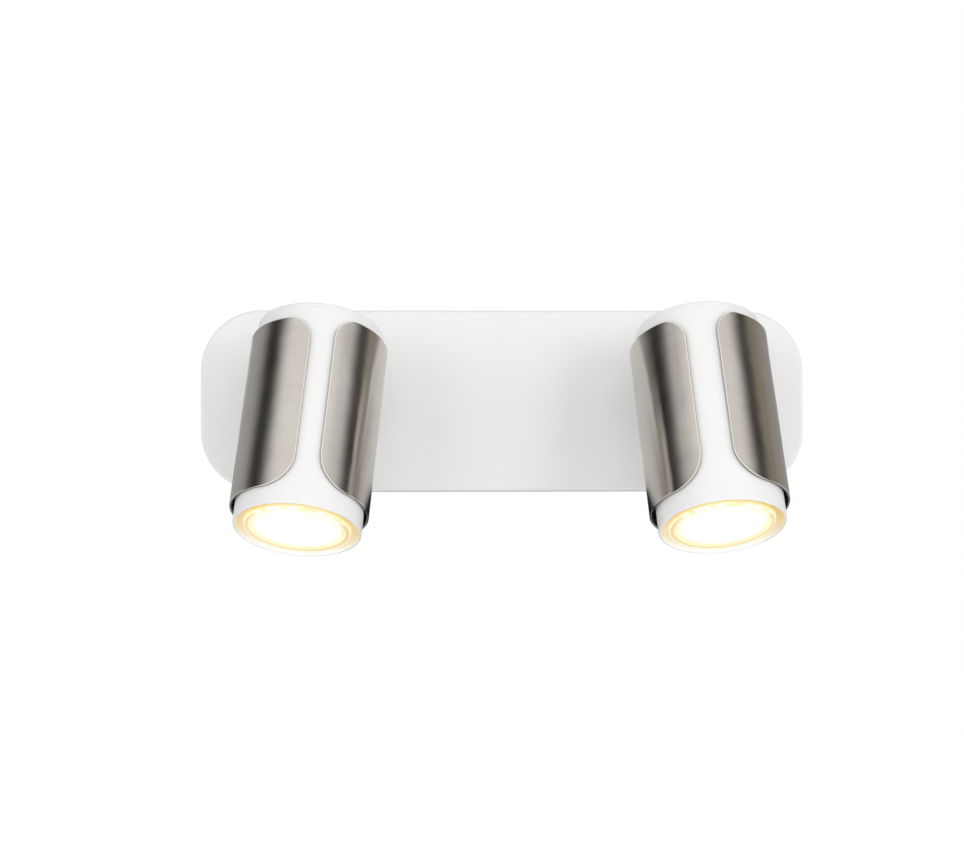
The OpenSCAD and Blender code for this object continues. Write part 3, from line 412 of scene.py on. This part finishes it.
def lit_reflector_glass(side):
    """Pressed glass body of the burning lamp: cream at the rim's edge, amber down its flank."""
    made, tree, surface = finish("lamp_body_glass_" + side, Base_Color=(0.06, 0.055, 0.045), Roughness=0.22,
                                 Emission_Strength=1.0)
    local, radius, depth = head_place(tree, side)
    face = ramp_over(tree, radius, 22.0, 25.0, RIM_RINGS)
    hot = ramp(tree, noise(tree, local, 0.21, 0.0), RIM_SPOTS)
    roomward = between(tree, wallward_share(tree, local, radius), -0.35, -0.75, 0.0, 0.9)
    face = mixed(tree, roomward, face, hot)
    shallow = ramp_over(tree, depth, 0.0, 4.0, FLANK_NEAR)
    deep = ramp_over(tree, depth, 0.0, 30.0, FLANK_DEEP)
    flank = mixed(tree, between(tree, depth, 3.2, 4.4, 0.0, 1.0), shallow, deep)
    patch = between(tree, noise(tree, local, 0.19, 1.0), 0.50, 0.60, 0.0, 0.5)
    flank = mixed(tree, patch, flank, FLANK_PATCH)
    wear(tree, surface, Emission_Color=mixed(tree, between(tree, depth, 0.35, 0.75, 0.0, 1.0), face, flank))
    return made


# Turned and rolled pieces made by Geometry Nodes

FLOAT = "NodeSocketFloat"
MATERIAL = "NodeSocketMaterial"


def geometry_tree(name, sizes):
    """An empty Geometry Nodes tree with named sizes and a material as inputs, and its input and output nodes."""
    tree = bpy.data.node_groups.new(name, "GeometryNodeTree")
    tree.interface.new_socket("Geometry", in_out="INPUT", socket_type="NodeSocketGeometry")
    for label in sizes:
        tree.interface.new_socket(label, in_out="INPUT", socket_type=FLOAT)
    tree.interface.new_socket("Material", in_out="INPUT", socket_type=MATERIAL)
    tree.interface.new_socket("Geometry", in_out="OUTPUT", socket_type="NodeSocketGeometry")
    return tree, tree.nodes.new("NodeGroupInput"), tree.nodes.new("NodeGroupOutput")


def close_tree(tree, geometry, material, outlet):
    real = add(tree, "GeometryNodeRealizeInstances", {0: geometry})
    dressed = add(tree, "GeometryNodeSetMaterial", {0: real.outputs[0], "Material": material})
    tree.links.new(dressed.outputs[0], outlet.inputs[0])


def run_tree(name, tree, values, start=None):
    """The plain mesh that a tree makes of the values, which are set before the object is first evaluated."""
    holder = bpy.data.objects.new(name, start or bpy.data.meshes.new(name + "_start"))
    bpy.context.scene.collection.objects.link(holder)
    modifier = holder.modifiers.new("make", "NODES")
    modifier.node_group = tree
    sockets = {s.name: s.identifier for s in tree.interface.items_tree if s.in_out == "INPUT"}
    for label, value in values.items():
        modifier[sockets[label]] = value
    bpy.context.view_layer.update()
    evaluated = holder.evaluated_get(bpy.context.evaluated_depsgraph_get())
    mesh = bpy.data.meshes.new_from_object(evaluated)
    holder.modifiers.clear()
    bpy.data.objects.remove(holder)
    return mesh


def place_piece(name, mesh, matrix, body):
    """The mesh put in its place as a smooth piece that rides on a body."""
    mesh.transform(matrix)
    mesh.update()
    piece = bpy.data.objects.new(name, mesh)
    bpy.context.scene.collection.objects.link(piece)
    for face in mesh.polygons:
        face.use_smooth = True
    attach(piece, body)
    return piece


def roll_tree():
    """Rolls a flat blank, whose x runs round the tube and y along it, and lets it spring a little out of true."""
    tree, inlet, outlet = geometry_tree("roll_sheet", [
        "Outside radius", "Turn of the slot", "Skew", "Spring", "Lift from, one flap", "Lift from, other flap",
        "Lift to", "Lift, one flap", "Lift, other flap"])
    given = inlet.outputs
    place = add(tree, "GeometryNodeInputPosition").outputs[0]
    round_way, along, into = split(tree, place)
    wave = add(tree, "ShaderNodeTexNoise", {"Vector": place, "Scale": 38.0, "Detail": 1.0}).outputs["Fac"]
    sprung = calc(tree, "MULTIPLY", calc(tree, "SUBTRACT", wave, 0.5), given["Spring"])
    other = calc(tree, "GREATER_THAN", round_way, 0.0)
    lift_from = add(tree, "ShaderNodeMix", {
        0: other, 2: given["Lift from, one flap"], 3: given["Lift from, other flap"]}).outputs[0]
    height = add(tree, "ShaderNodeMix", {
        0: other, 2: given["Lift, one flap"], 3: given["Lift, other flap"]}).outputs[0]
    lift = add(tree, "ShaderNodeMapRange", {
        0: calc(tree, "ABSOLUTE", round_way), 1: lift_from, 2: given["Lift to"], 3: 0.0, 4: height},
        interpolation_type="SMOOTHSTEP").outputs[0]
    radius = calc(tree, "ADD", calc(tree, "SUBTRACT", given["Outside radius"], into),
                  calc(tree, "ADD", sprung, lift))
    angle = calc(tree, "ADD", calc(tree, "DIVIDE", round_way, given["Outside radius"]),
                 calc(tree, "ADD", given["Turn of the slot"], math.pi))
    x = calc(tree, "MULTIPLY", radius, calc(tree, "SINE", angle))
    y = calc(tree, "MULTIPLY", calc(tree, "MULTIPLY", radius, calc(tree, "COSINE", angle)), -1.0)
    skewed = calc(tree, "ADD", along, calc(tree, "MULTIPLY", round_way, given["Skew"]))
    z = calc(tree, "MULTIPLY", skewed, -1.0)
    rolled = add(tree, "ShaderNodeCombineXYZ", {0: x, 1: y, 2: z}).outputs[0]
    moved = add(tree, "GeometryNodeSetPosition", {0: given[0], "Position": rolled})
    close_tree(tree, moved.outputs[0], given["Material"], outlet)
    return tree


def thread_tree():
    """A rolled thread: a helix with a three-sided ridge."""
    tree, inlet, outlet = geometry_tree("thread", ["Radius", "Turns", "Length", "Ridge"])
    given = inlet.outputs
    helix = add(tree, "GeometryNodeCurveSpiral", {
        "Resolution": 40, "Rotations": given["Turns"], "Start Radius": given["Radius"],
        "End Radius": given["Radius"], "Height": given["Length"]})
    ridge = add(tree, "GeometryNodeCurvePrimitiveCircle", {"Resolution": 3, "Radius": given["Ridge"]})
    swept = add(tree, "GeometryNodeCurveToMesh", {0: helix.outputs[0], 1: ridge.outputs[0], "Fill Caps": True})
    close_tree(tree, swept.outputs[0], given["Material"], outlet)
    return tree


def pebble_tree():
    """The pressed pattern of a front glass: low domes on a staggered grid, kept inside a circle."""
    tree, inlet, outlet = geometry_tree("pressed_pattern", ["Disc radius", "Pitch", "Dome radius", "Dome height"])
    given = inlet.outputs
    span = calc(tree, "MULTIPLY", given["Pitch"], float(DOMES_ACROSS - 1))
    tall = calc(tree, "MULTIPLY", span, math.sqrt(3) / 2)
    grid = add(tree, "GeometryNodeMeshGrid", {
        "Size X": tall, "Size Y": span, "Vertices X": DOMES_ACROSS, "Vertices Y": DOMES_ACROSS})
    index = add(tree, "GeometryNodeInputIndex").outputs[0]
    row = calc(tree, "FLOOR", calc(tree, "DIVIDE", index, float(DOMES_ACROSS)))
    shift = calc(tree, "MULTIPLY", calc(tree, "MODULO", row, 2.0), calc(tree, "MULTIPLY", given["Pitch"], 0.5))
    offset = add(tree, "ShaderNodeCombineXYZ", {1: shift}).outputs[0]
    staggered = add(tree, "GeometryNodeSetPosition", {0: grid.outputs[0], "Offset": offset})
    place = add(tree, "GeometryNodeInputPosition").outputs[0]
    outside = calc(tree, "GREATER_THAN", length_of(tree, place), given["Disc radius"])
    kept = add(tree, "GeometryNodeDeleteGeometry", {0: staggered.outputs[0], 1: outside})
    dome = add(tree, "GeometryNodeMeshIcoSphere", {"Radius": given["Dome radius"], "Subdivisions": 2})
    flat = calc(tree, "DIVIDE", given["Dome height"], given["Dome radius"])
    size = add(tree, "ShaderNodeCombineXYZ", {0: 1.0, 1: 1.0, 2: flat}).outputs[0]
    domes = add(tree, "GeometryNodeInstanceOnPoints", {0: kept.outputs[0], 2: dome.outputs[0], "Scale": size})
    close_tree(tree, domes.outputs[0], given["Material"], outlet)
    return tree


# The sleeve's flat blank

def flap_corners(side):
    """Half of the blank's outline: one flap edge with its two round corners, from the back to the mouth."""
    half = SLEEVE_BLANK_W / 2
    back = SLEEVE_BACK[side]
    front = back + SLEEVE_L
    line = []
    for k in range(13):
        a = math.radians(90.0 * k / 12)
        line.append((half - FLAP_BACK_R * (1 - math.sin(a)), back + FLAP_BACK_R * (1 - math.cos(a))))
    for k in range(17):
        a = math.radians(90.0 * k / 16)
        line.append((half - FLAP_FRONT_R * (1 - math.cos(a)), front - FLAP_FRONT_R * (1 - math.sin(a))))
    return line


def filled_in(line, step):
    """The closed line with points added so that no run is longer than about a step."""
    out = []
    for (x0, y0), (x1, y1) in zip(line, line[1:] + line[:1]):
        parts = max(1, int(math.hypot(x1 - x0, y1 - y0) / step))
        out += [(x0 + (x1 - x0) * k / parts, y0 + (y1 - y0) * k / parts) for k in range(parts)]
    return out


def drawn_in(line, step):
    """The closed line moved inwards by a step; the line runs counterclockwise."""
    out = []
    count = len(line)
    for k in range(count):
        before, here, after = Vector(line[k - 1]), Vector(line[k]), Vector(line[(k + 1) % count])
        a, b = (here - before).normalized(), (after - here).normalized()
        na, nb = Vector((-a.y, a.x)), Vector((-b.y, b.x))
        middle = na + nb
        out.append(tuple(here + middle * (step / max(0.4, 1 + na.dot(nb)))))
    return out


def blank_outline(side):
    """The whole blank, counterclockwise, with the notch that lets the swivel's nipple in from the back."""
    edge = flap_corners(side)
    middle = -SLEEVE_R[side] * math.radians(SLEEVE_TURN[side])
    back = SLEEVE_BACK[side]
    notch = [(middle + NOTCH_HALF, back), (middle + NOTCH_HALF, NIPPLE_BACK)]
    for k in range(1, 12):
        a = math.radians(15 * k)
        notch.append((middle + NOTCH_HALF * math.cos(a), NIPPLE_BACK + NOTCH_HALF * math.sin(a)))
    notch += [(middle - NOTCH_HALF, NIPPLE_BACK), (middle - NOTCH_HALF, back)]
    line = edge + [(-x, y) for x, y in reversed(edge)] + notch[::-1]
    return filled_in(line, EDGE_RUN)


def inside(point, line):
    x, y = point
    odd = False
    for (x0, y0), (x1, y1) in zip(line, line[1:] + line[:1]):
        if (y0 > y) != (y1 > y) and x < x0 + (y - y0) / (y1 - y0) * (x1 - x0):
            odd = not odd
    return odd


def flat_blank(side):
    """The blank as a closed flat sheet with rounded edges: x round the tube, y along it, z into the sheet."""
    outline = blank_outline(side)
    slope = 0.29 * EDGE_R
    rings = [(EDGE_R, 0.0), (slope, slope), (0.0, EDGE_R),
             (0.0, SLEEVE_T - EDGE_R), (slope, SLEEVE_T - slope), (EDGE_R, SLEEVE_T)]
    inner = drawn_in(outline, EDGE_MARGIN)
    keep_off = drawn_in(outline, GRID_KEEP_OFF)
    points = [Vector(p) for p in inner]
    columns = int(SLEEVE_BLANK_W / GRID_COLUMN)
    for i in range(columns + 1):
        for j in range(GRID_ROWS + 1):
            p = ((i / columns - 0.5) * SLEEVE_BLANK_W + 0.01, SLEEVE_BACK[side] + SLEEVE_L * j / GRID_ROWS)
            if inside(p, keep_off):
                points.append(Vector(p))
    count = len(inner)
    edges = [(k, (k + 1) % count) for k in range(count)]
    flat, _, faces, *_ = delaunay_2d_cdt(points, edges, [], 1, 1e-6)
    assert len(flat) == len(points)
    verts = [(p.x, p.y, 0.0) for p in flat]
    top = [tuple(f) for f in faces]
    under = len(verts)
    verts += [(p.x, p.y, SLEEVE_T) for p in flat]
    faces = [f[::-1] for f in top] + [tuple(under + k for k in f) for f in top]
    loops = [list(range(count))]
    for step, depth in rings:
        loops.append(list(range(len(verts), len(verts) + count)))
        verts += [(x, y, depth) for x, y in drawn_in(outline, step)]
    loops.append([under + k for k in range(count)])
    for a, b in zip(loops, loops[1:]):
        faces += [(a[k], a[(k + 1) % count], b[(k + 1) % count], b[k]) for k in range(count)]
    mesh = bpy.data.meshes.new(side + "_blank")
    mesh.from_pydata([(x * MM, y * MM, z * MM) for x, y, z in verts], [], faces)
    # Marks the rounded edge for a painted highlight (1) and the cut side for painted shade (-1)
    edge_highlight_and_shade = mesh.attributes.new("edge", "FLOAT", "POINT")
    for loop, value in ((loops[1], 1.0), (loops[2], 1.0), (loops[3], -1.0), (loops[4], -1.0)):
        for k in loop:
            edge_highlight_and_shade.data[k].value = value
    sheet = mesh.uv_layers.new(name="sheet")
    for loop in mesh.loops:
        x, y, _ = mesh.vertices[loop.vertex_index].co
        sheet.data[loop.index].uv = (y, x + 0.2)
    mesh.update()
    return mesh


# Finishes for every node

WHITE = (0.84, 0.84, 0.835)
plate_paint = powder_paint("plate_paint", WHITE, 0.42, 1.1)
knuckle_paint = powder_paint("knuckle_paint_coat", WHITE, 0.36, 0.8)
cap_paint = powder_paint("tube_paint_coat", WHITE, 0.34, 0.9)
# The right sleeve's copy of the nickel is a shade darker than the left: painted shade for the darker reflections
# on the right head
nickel = {"left": rolled_metal("brushed_nickel_left", (0.605, 0.57, 0.525), 0.20),
          "right": rolled_metal("brushed_nickel_right", (0.57, 0.535, 0.49), 0.20)}
zinc_plate = turned_metal("bright_zinc", (0.66, 0.68, 0.70), 0.32)
brass = turned_metal("turned_brass", (0.78, 0.60, 0.30), 0.28)
nickel_pin = turned_metal("nickel_pins", (0.70, 0.66, 0.60), 0.25, 900.0)
dark_nylon = moulded_plastic("friction_nylon", (0.10, 0.10, 0.105), 0.5)
block_plastic = moulded_plastic("block_polyamide", (0.80, 0.80, 0.76), 0.42, 0.2)
base_plastic = moulded_plastic("lamp_base_plastic_white", (0.82, 0.81, 0.78), 0.4)
BROWN, BLUE = (0.16, 0.07, 0.03), (0.03, 0.10, 0.42)
GREEN, YELLOW = (0.03, 0.26, 0.06), (0.80, 0.66, 0.04)

# A node's own name comes before its name without the side
FINISH = {
    "canopy": plate_paint,
    "mounting_bracket": spangled_zinc("spangled_zinc_strip"),
    "end_bushes": zinc_plate,
    "side_screws": zinc_plate,
    "terminal_block": block_plastic,
    "terminal_inserts": brass,
    "terminal_screws": zinc_plate,
    "terminal_fixing_screw": zinc_plate,
    "earth_screw": brass,
    "earth_lug": turned_metal("tinned_lug", (0.70, 0.70, 0.68), 0.3),
    "earth_lead": wire_skin("earth_wire_skin", GREEN, YELLOW, 1400.0),
    "feed_leads": wire_skin("feed_wire_skin", BLUE, BROWN),
    "swivel_base": knuckle_paint,
    "friction_washer": dark_nylon,
    "spring_washer": zinc_plate,
    "stub_nut": brass,
    "hinge_screw": zinc_plate,
    "hinge_nut": zinc_plate,
    "hinge_disc": dark_nylon,
    "head_arm": knuckle_paint,
    "saddle": knuckle_paint,
    "left_sleeve": nickel["left"],
    "right_sleeve": nickel["right"],
    "sleeve_spacer": dark_nylon,
    "nipple_nut": brass,
    "rear_cap": cap_paint,
    "holder_bracket": zinc_plate,
    "lampholder": steatite("fired_steatite"),
    "holder_contacts": brass,
    "holder_screws": zinc_plate,
    "head_leads": moulded_plastic("silicone_skin", (0.78, 0.76, 0.70), 0.55, 0.3),
    "lamp_base": base_plastic,
    "lamp_pins": nickel_pin,
}
for side in SIDES:
    # Each tube's paint carries painted lamp light inside its mouth
    FINISH[side + "_body_tube"] = powder_paint("tube_paint_" + side, WHITE, 0.34, 0.9, side)
    FINISH[side + "_lamp_lens"] = lit_front_glass(side)
    FINISH[side + "_lamp_reflector"] = lit_reflector_glass(side)

for name, part in NODES.items():
    plain = name.replace("left_", "").replace("right_", "")
    part.data.materials.clear()
    part.data.materials.append(FINISH.get(name) or FINISH[plain])


# Sleeves, threads and glass patterns

def stub_thread(side, tree):
    """The thread on the bare end of a swivel's stub, from just past its nut to just before its end."""
    centre = Vector(joint(side + "_pan")["pos_m"])
    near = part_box(side + "_stub_nut")[1][1] + 0.1 * MM
    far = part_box(side + "_swivel_base")[1][1] - 0.25 * MM
    start = Vector((centre.x, near, centre.z))
    way = Vector((centre.x, far, centre.z)) - start
    pitch = THREAD_PITCH * MM
    mesh = run_tree(side + "_stub_thread_helix", tree, {
        "Radius": NIPPLE_R * MM, "Turns": way.length / pitch, "Length": way.length, "Ridge": pitch * 0.3,
        "Material": zinc_plate})
    turn = way.to_track_quat("Z", "X").to_matrix().to_4x4()
    place_piece(side + "_stub_thread", mesh, Matrix.Translation(start) @ turn, side + "_swivel")


def rolled_sleeve(side, tree):
    """The sleeve as a sheet rolled from its blank, in the place of the solid sleeve."""
    one, other = FLAP_LIFT[side]
    rolled = run_tree(side + "_rolled", tree, {
        "Outside radius": SLEEVE_R[side] * MM, "Turn of the slot": math.radians(SLEEVE_TURN[side]),
        "Skew": SLEEVE_SKEW[side], "Spring": SLEEVE_SPRING * MM,
        "Lift from, one flap": one[0] * MM, "Lift, one flap": one[1] * MM,
        "Lift from, other flap": other[0] * MM, "Lift, other flap": other[1] * MM,
        "Lift to": SLEEVE_BLANK_W / 2 * MM, "Material": nickel[side]}, flat_blank(side))
    sat_back = HEAD[side] @ Matrix.Translation((0.0, SLEEVE_SHIFT[side] * MM, 0.0))
    sleeve = place_piece(side + "_rolled_sleeve", rolled, sat_back, side + "_head")
    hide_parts(side + "_sleeve")


def glass_pattern(side, tree):
    domes = run_tree(side + "_domes", tree, {
        "Disc radius": PATTERN_R * MM, "Pitch": DOME_PITCH * MM, "Dome radius": DOME_R * MM,
        "Dome height": DOME_HEIGHT * MM, "Material": FINISH[side + "_lamp_lens"]})
    face = HEAD[side] @ Matrix.Translation((0.0, 0.0, -(LAMP_FACE - DOMES_BACK) * MM))
    place_piece(side + "_glass_pattern", domes, face, side + "_lamp")


thread, roll, pebbles = thread_tree(), roll_tree(), pebble_tree()
for side in SIDES:
    stub_thread(side, thread)
for side in SIDES:
    rolled_sleeve(side, roll)
    glass_pattern(side, pebbles)


# Camera, stage and light

# The camera fitted to the photograph, in metres and degrees
LENS_MM = 104.42
SENSOR_MM = 36.0
CAMERA_PLACE = (-0.06874, -1.40874, -0.06927)
CAMERA_YAW, CAMERA_PITCH, CAMERA_ROLL = 2.397, 2.169, -0.150

FLOOR_Z = -0.45
FLOOR_HALF = 4.0
# How far from the object the floor starts to fade, and where it is white
FLOOR_FADE = (0.8, 1.8)
FLAG_Y = 0.012
FLAG_HALF = 0.1
FLAG_Z = (-0.3, -0.046)

SOFT_LEVEL = (0.76, 0.76, 0.76)
SOFT_BELOW = (0.30, 0.30, 0.30)
SOFT_ABOVE = (0.60, 0.60, 0.60)
OVERHEAD = (0.9, 0.9, 0.9)
# What metal sees round the horizon: heading from the front in degrees, positive to the right, and light
RING = [(-180, 0.34), (-150, 0.42), (-142, 0.42), (-124, 0.42), (-114, 0.28), (-107, 0.10), (-102, 0.0),
        (-88, 0.0), (-82, 0.07), (-74, 0.50), (-63, 0.88), (-50, 1.0), (-20, 1.0), (30, 1.0), (57, 0.98),
        (67, 0.84), (75, 0.46), (81, 0.08), (84, 0.0), (95, 0.0), (99, (0.19, 0.17, 0.14)),
        (103, (0.34, 0.31, 0.26)), (108, (0.36, 0.33, 0.28)), (112, (0.22, 0.20, 0.17)),
        (116, (0.32, 0.30, 0.26)), (122, (0.38, 0.36, 0.32)), (136, 0.34), (144, 0.36), (180, 0.34)]
RING_GAIN = (1.12, 1.12, 1.12)

# Soft lamps: name, place, width and power
LAMPS = [
    ("front", (0.0, -1.9, 0.2), 0.8, 4.2),
    ("key_right", (0.75, -1.4, 0.25), 0.45, 3.6),
    ("side_right", (1.5, -0.8, 0.2), 0.8, 3.3),
    ("fill_left", (-0.75, -1.4, 0.25), 0.45, 1.8),
    ("side_left", (-1.3, -0.75, 0.1), 0.6, 1.9),
]


def camera():
    made = bpy.data.cameras.new("photo_camera")
    made.sensor_width = SENSOR_MM
    made.lens = LENS_MM
    made.clip_start, made.clip_end = 0.05, 50.0
    holder = bpy.data.objects.new("photo_camera", made)
    bpy.context.scene.collection.objects.link(holder)
    yaw, pitch, lean = math.radians(CAMERA_YAW), math.radians(CAMERA_PITCH), math.radians(CAMERA_ROLL)
    ahead = Vector((math.sin(yaw) * math.cos(pitch), math.cos(yaw) * math.cos(pitch), math.sin(pitch)))
    level = Vector((math.cos(yaw), -math.sin(yaw), 0.0))
    up = level.cross(ahead)
    right = math.cos(lean) * level + math.sin(lean) * up
    top = -math.sin(lean) * level + math.cos(lean) * up
    turn = Matrix((right, top, -ahead)).transposed().to_4x4()
    holder.matrix_world = Matrix.Translation(CAMERA_PLACE) @ turn
    bpy.context.scene.camera = holder


def stage_sheet(name, corners, material):
    """A flat sheet of the stage, from its four corners."""
    mesh = bpy.data.meshes.new(name)
    mesh.from_pydata(corners, [], [(0, 1, 2, 3)])
    mesh.materials.append(material)
    sheet = bpy.data.objects.new(name, mesh)
    bpy.context.scene.collection.objects.link(sheet)
    return sheet


def floor():
    """A pale floor that keeps the object's shadow and fades to the white of the studio further out."""
    made, tree, surface = finish("studio_floor", Roughness=0.7, Emission_Strength=1.0)
    place = object_place(tree)
    pale = mixed(tree, noise(tree, place, 3.0, 2.0), (0.90, 0.90, 0.90), (0.94, 0.94, 0.94))
    seen = add(tree, "ShaderNodeLightPath").outputs["Is Camera Ray"]
    far_out = between(tree, length_of(tree, place), *FLOOR_FADE, 0.0, 1.0)
    away = calc(tree, "MULTIPLY", far_out, seen)
    wear(tree, surface, Base_Color=mixed(tree, away, pale, BLACK),
         Emission_Color=mixed(tree, away, BLACK, PURE_WHITE))
    half = FLOOR_HALF
    plane = stage_sheet("studio_floor", [(-half, -half, FLOOR_Z), (half, -half, FLOOR_Z),
                                         (half, half, FLOOR_Z), (-half, half, FLOOR_Z)], made)


def black_flag():
    """A black studio flag behind the wall line, between the heads and below, which only the metal's reflections
    see: a dark sheet that stands in for the shade below the plate in those reflections.
    """
    made, tree, surface = finish("flag_cloth", Roughness=0.9, Specular_IOR_Level=0.1)
    weave = noise(tree, object_place(tree), 900.0, 1.0)
    wear(tree, surface, Base_Color=mixed(tree, weave, (0.01, 0.01, 0.01), (0.03, 0.03, 0.03)))
    low, high = FLAG_Z
    flag = stage_sheet("black_flag", [(-FLAG_HALF, FLAG_Y, low), (FLAG_HALF, FLAG_Y, low),
                                      (FLAG_HALF, FLAG_Y, high), (-FLAG_HALF, FLAG_Y, high)], made)
    flag.visible_camera = flag.visible_diffuse = flag.visible_shadow = flag.visible_transmission = False


def studio_world():
    """White to the camera; to metal and gloss a bright front with dark sides; to the rest an even soft light."""
    world = bpy.data.worlds.new("studio")
    world.use_nodes = True
    tree = world.node_tree
    tree.nodes.clear()
    ray = add(tree, "ShaderNodeLightPath")
    x, y, z = split(tree, add(tree, "ShaderNodeTexCoord").outputs["Generated"])
    heading = calc(tree, "ARCTAN2", x, calc(tree, "MULTIPLY", y, -1.0))
    share = between(tree, heading, -math.pi, math.pi, 0.0, 1.0)
    ring = ramp(tree, share, [((degrees + 180) / 360, light) for degrees, light in RING])
    ring = mixed(tree, 1.0, ring, RING_GAIN, "MULTIPLY")
    studio = mixed(tree, between(tree, z, 0.75, 0.95, 0.0, 1.0), ring, OVERHEAD)
    low = mixed(tree, between(tree, z, -1.0, 0.2, 1.0, 0.0), SOFT_LEVEL, SOFT_BELOW)
    soft = mixed(tree, between(tree, z, -0.2, 1.0, 0.0, 1.0), low, SOFT_ABOVE)
    lit = mixed(tree, ray.outputs["Is Glossy Ray"], soft, studio)
    clear = calc(tree, "MAXIMUM", ray.outputs["Is Camera Ray"], ray.outputs["Is Transmission Ray"])
    seen = mixed(tree, clear, lit, PURE_WHITE)
    back = add(tree, "ShaderNodeBackground", {"Color": seen, "Strength": 1.0})
    out = add(tree, "ShaderNodeOutputWorld")
    tree.links.new(back.outputs[0], out.inputs[0])
    world.cycles.sampling_method = "NONE"
    bpy.context.scene.world = world


def soft_lamp(name, place, width, power):
    """A round lamp that faces the object and that no reflection sees."""
    data = bpy.data.lights.new(name, "AREA")
    data.shape = "DISK"
    data.size = width
    data.energy = power
    lamp = bpy.data.objects.new(name, data)
    lamp.location = place
    lamp.rotation_euler = (-Vector(place)).to_track_quat("-Z", "Y").to_euler()
    lamp.visible_glossy = False
    bpy.context.scene.collection.objects.link(lamp)


camera()
floor()
black_flag()
studio_world()
for lamp in LAMPS:
    soft_lamp(*lamp)
bpy.context.scene.view_settings.view_transform = "Standard"
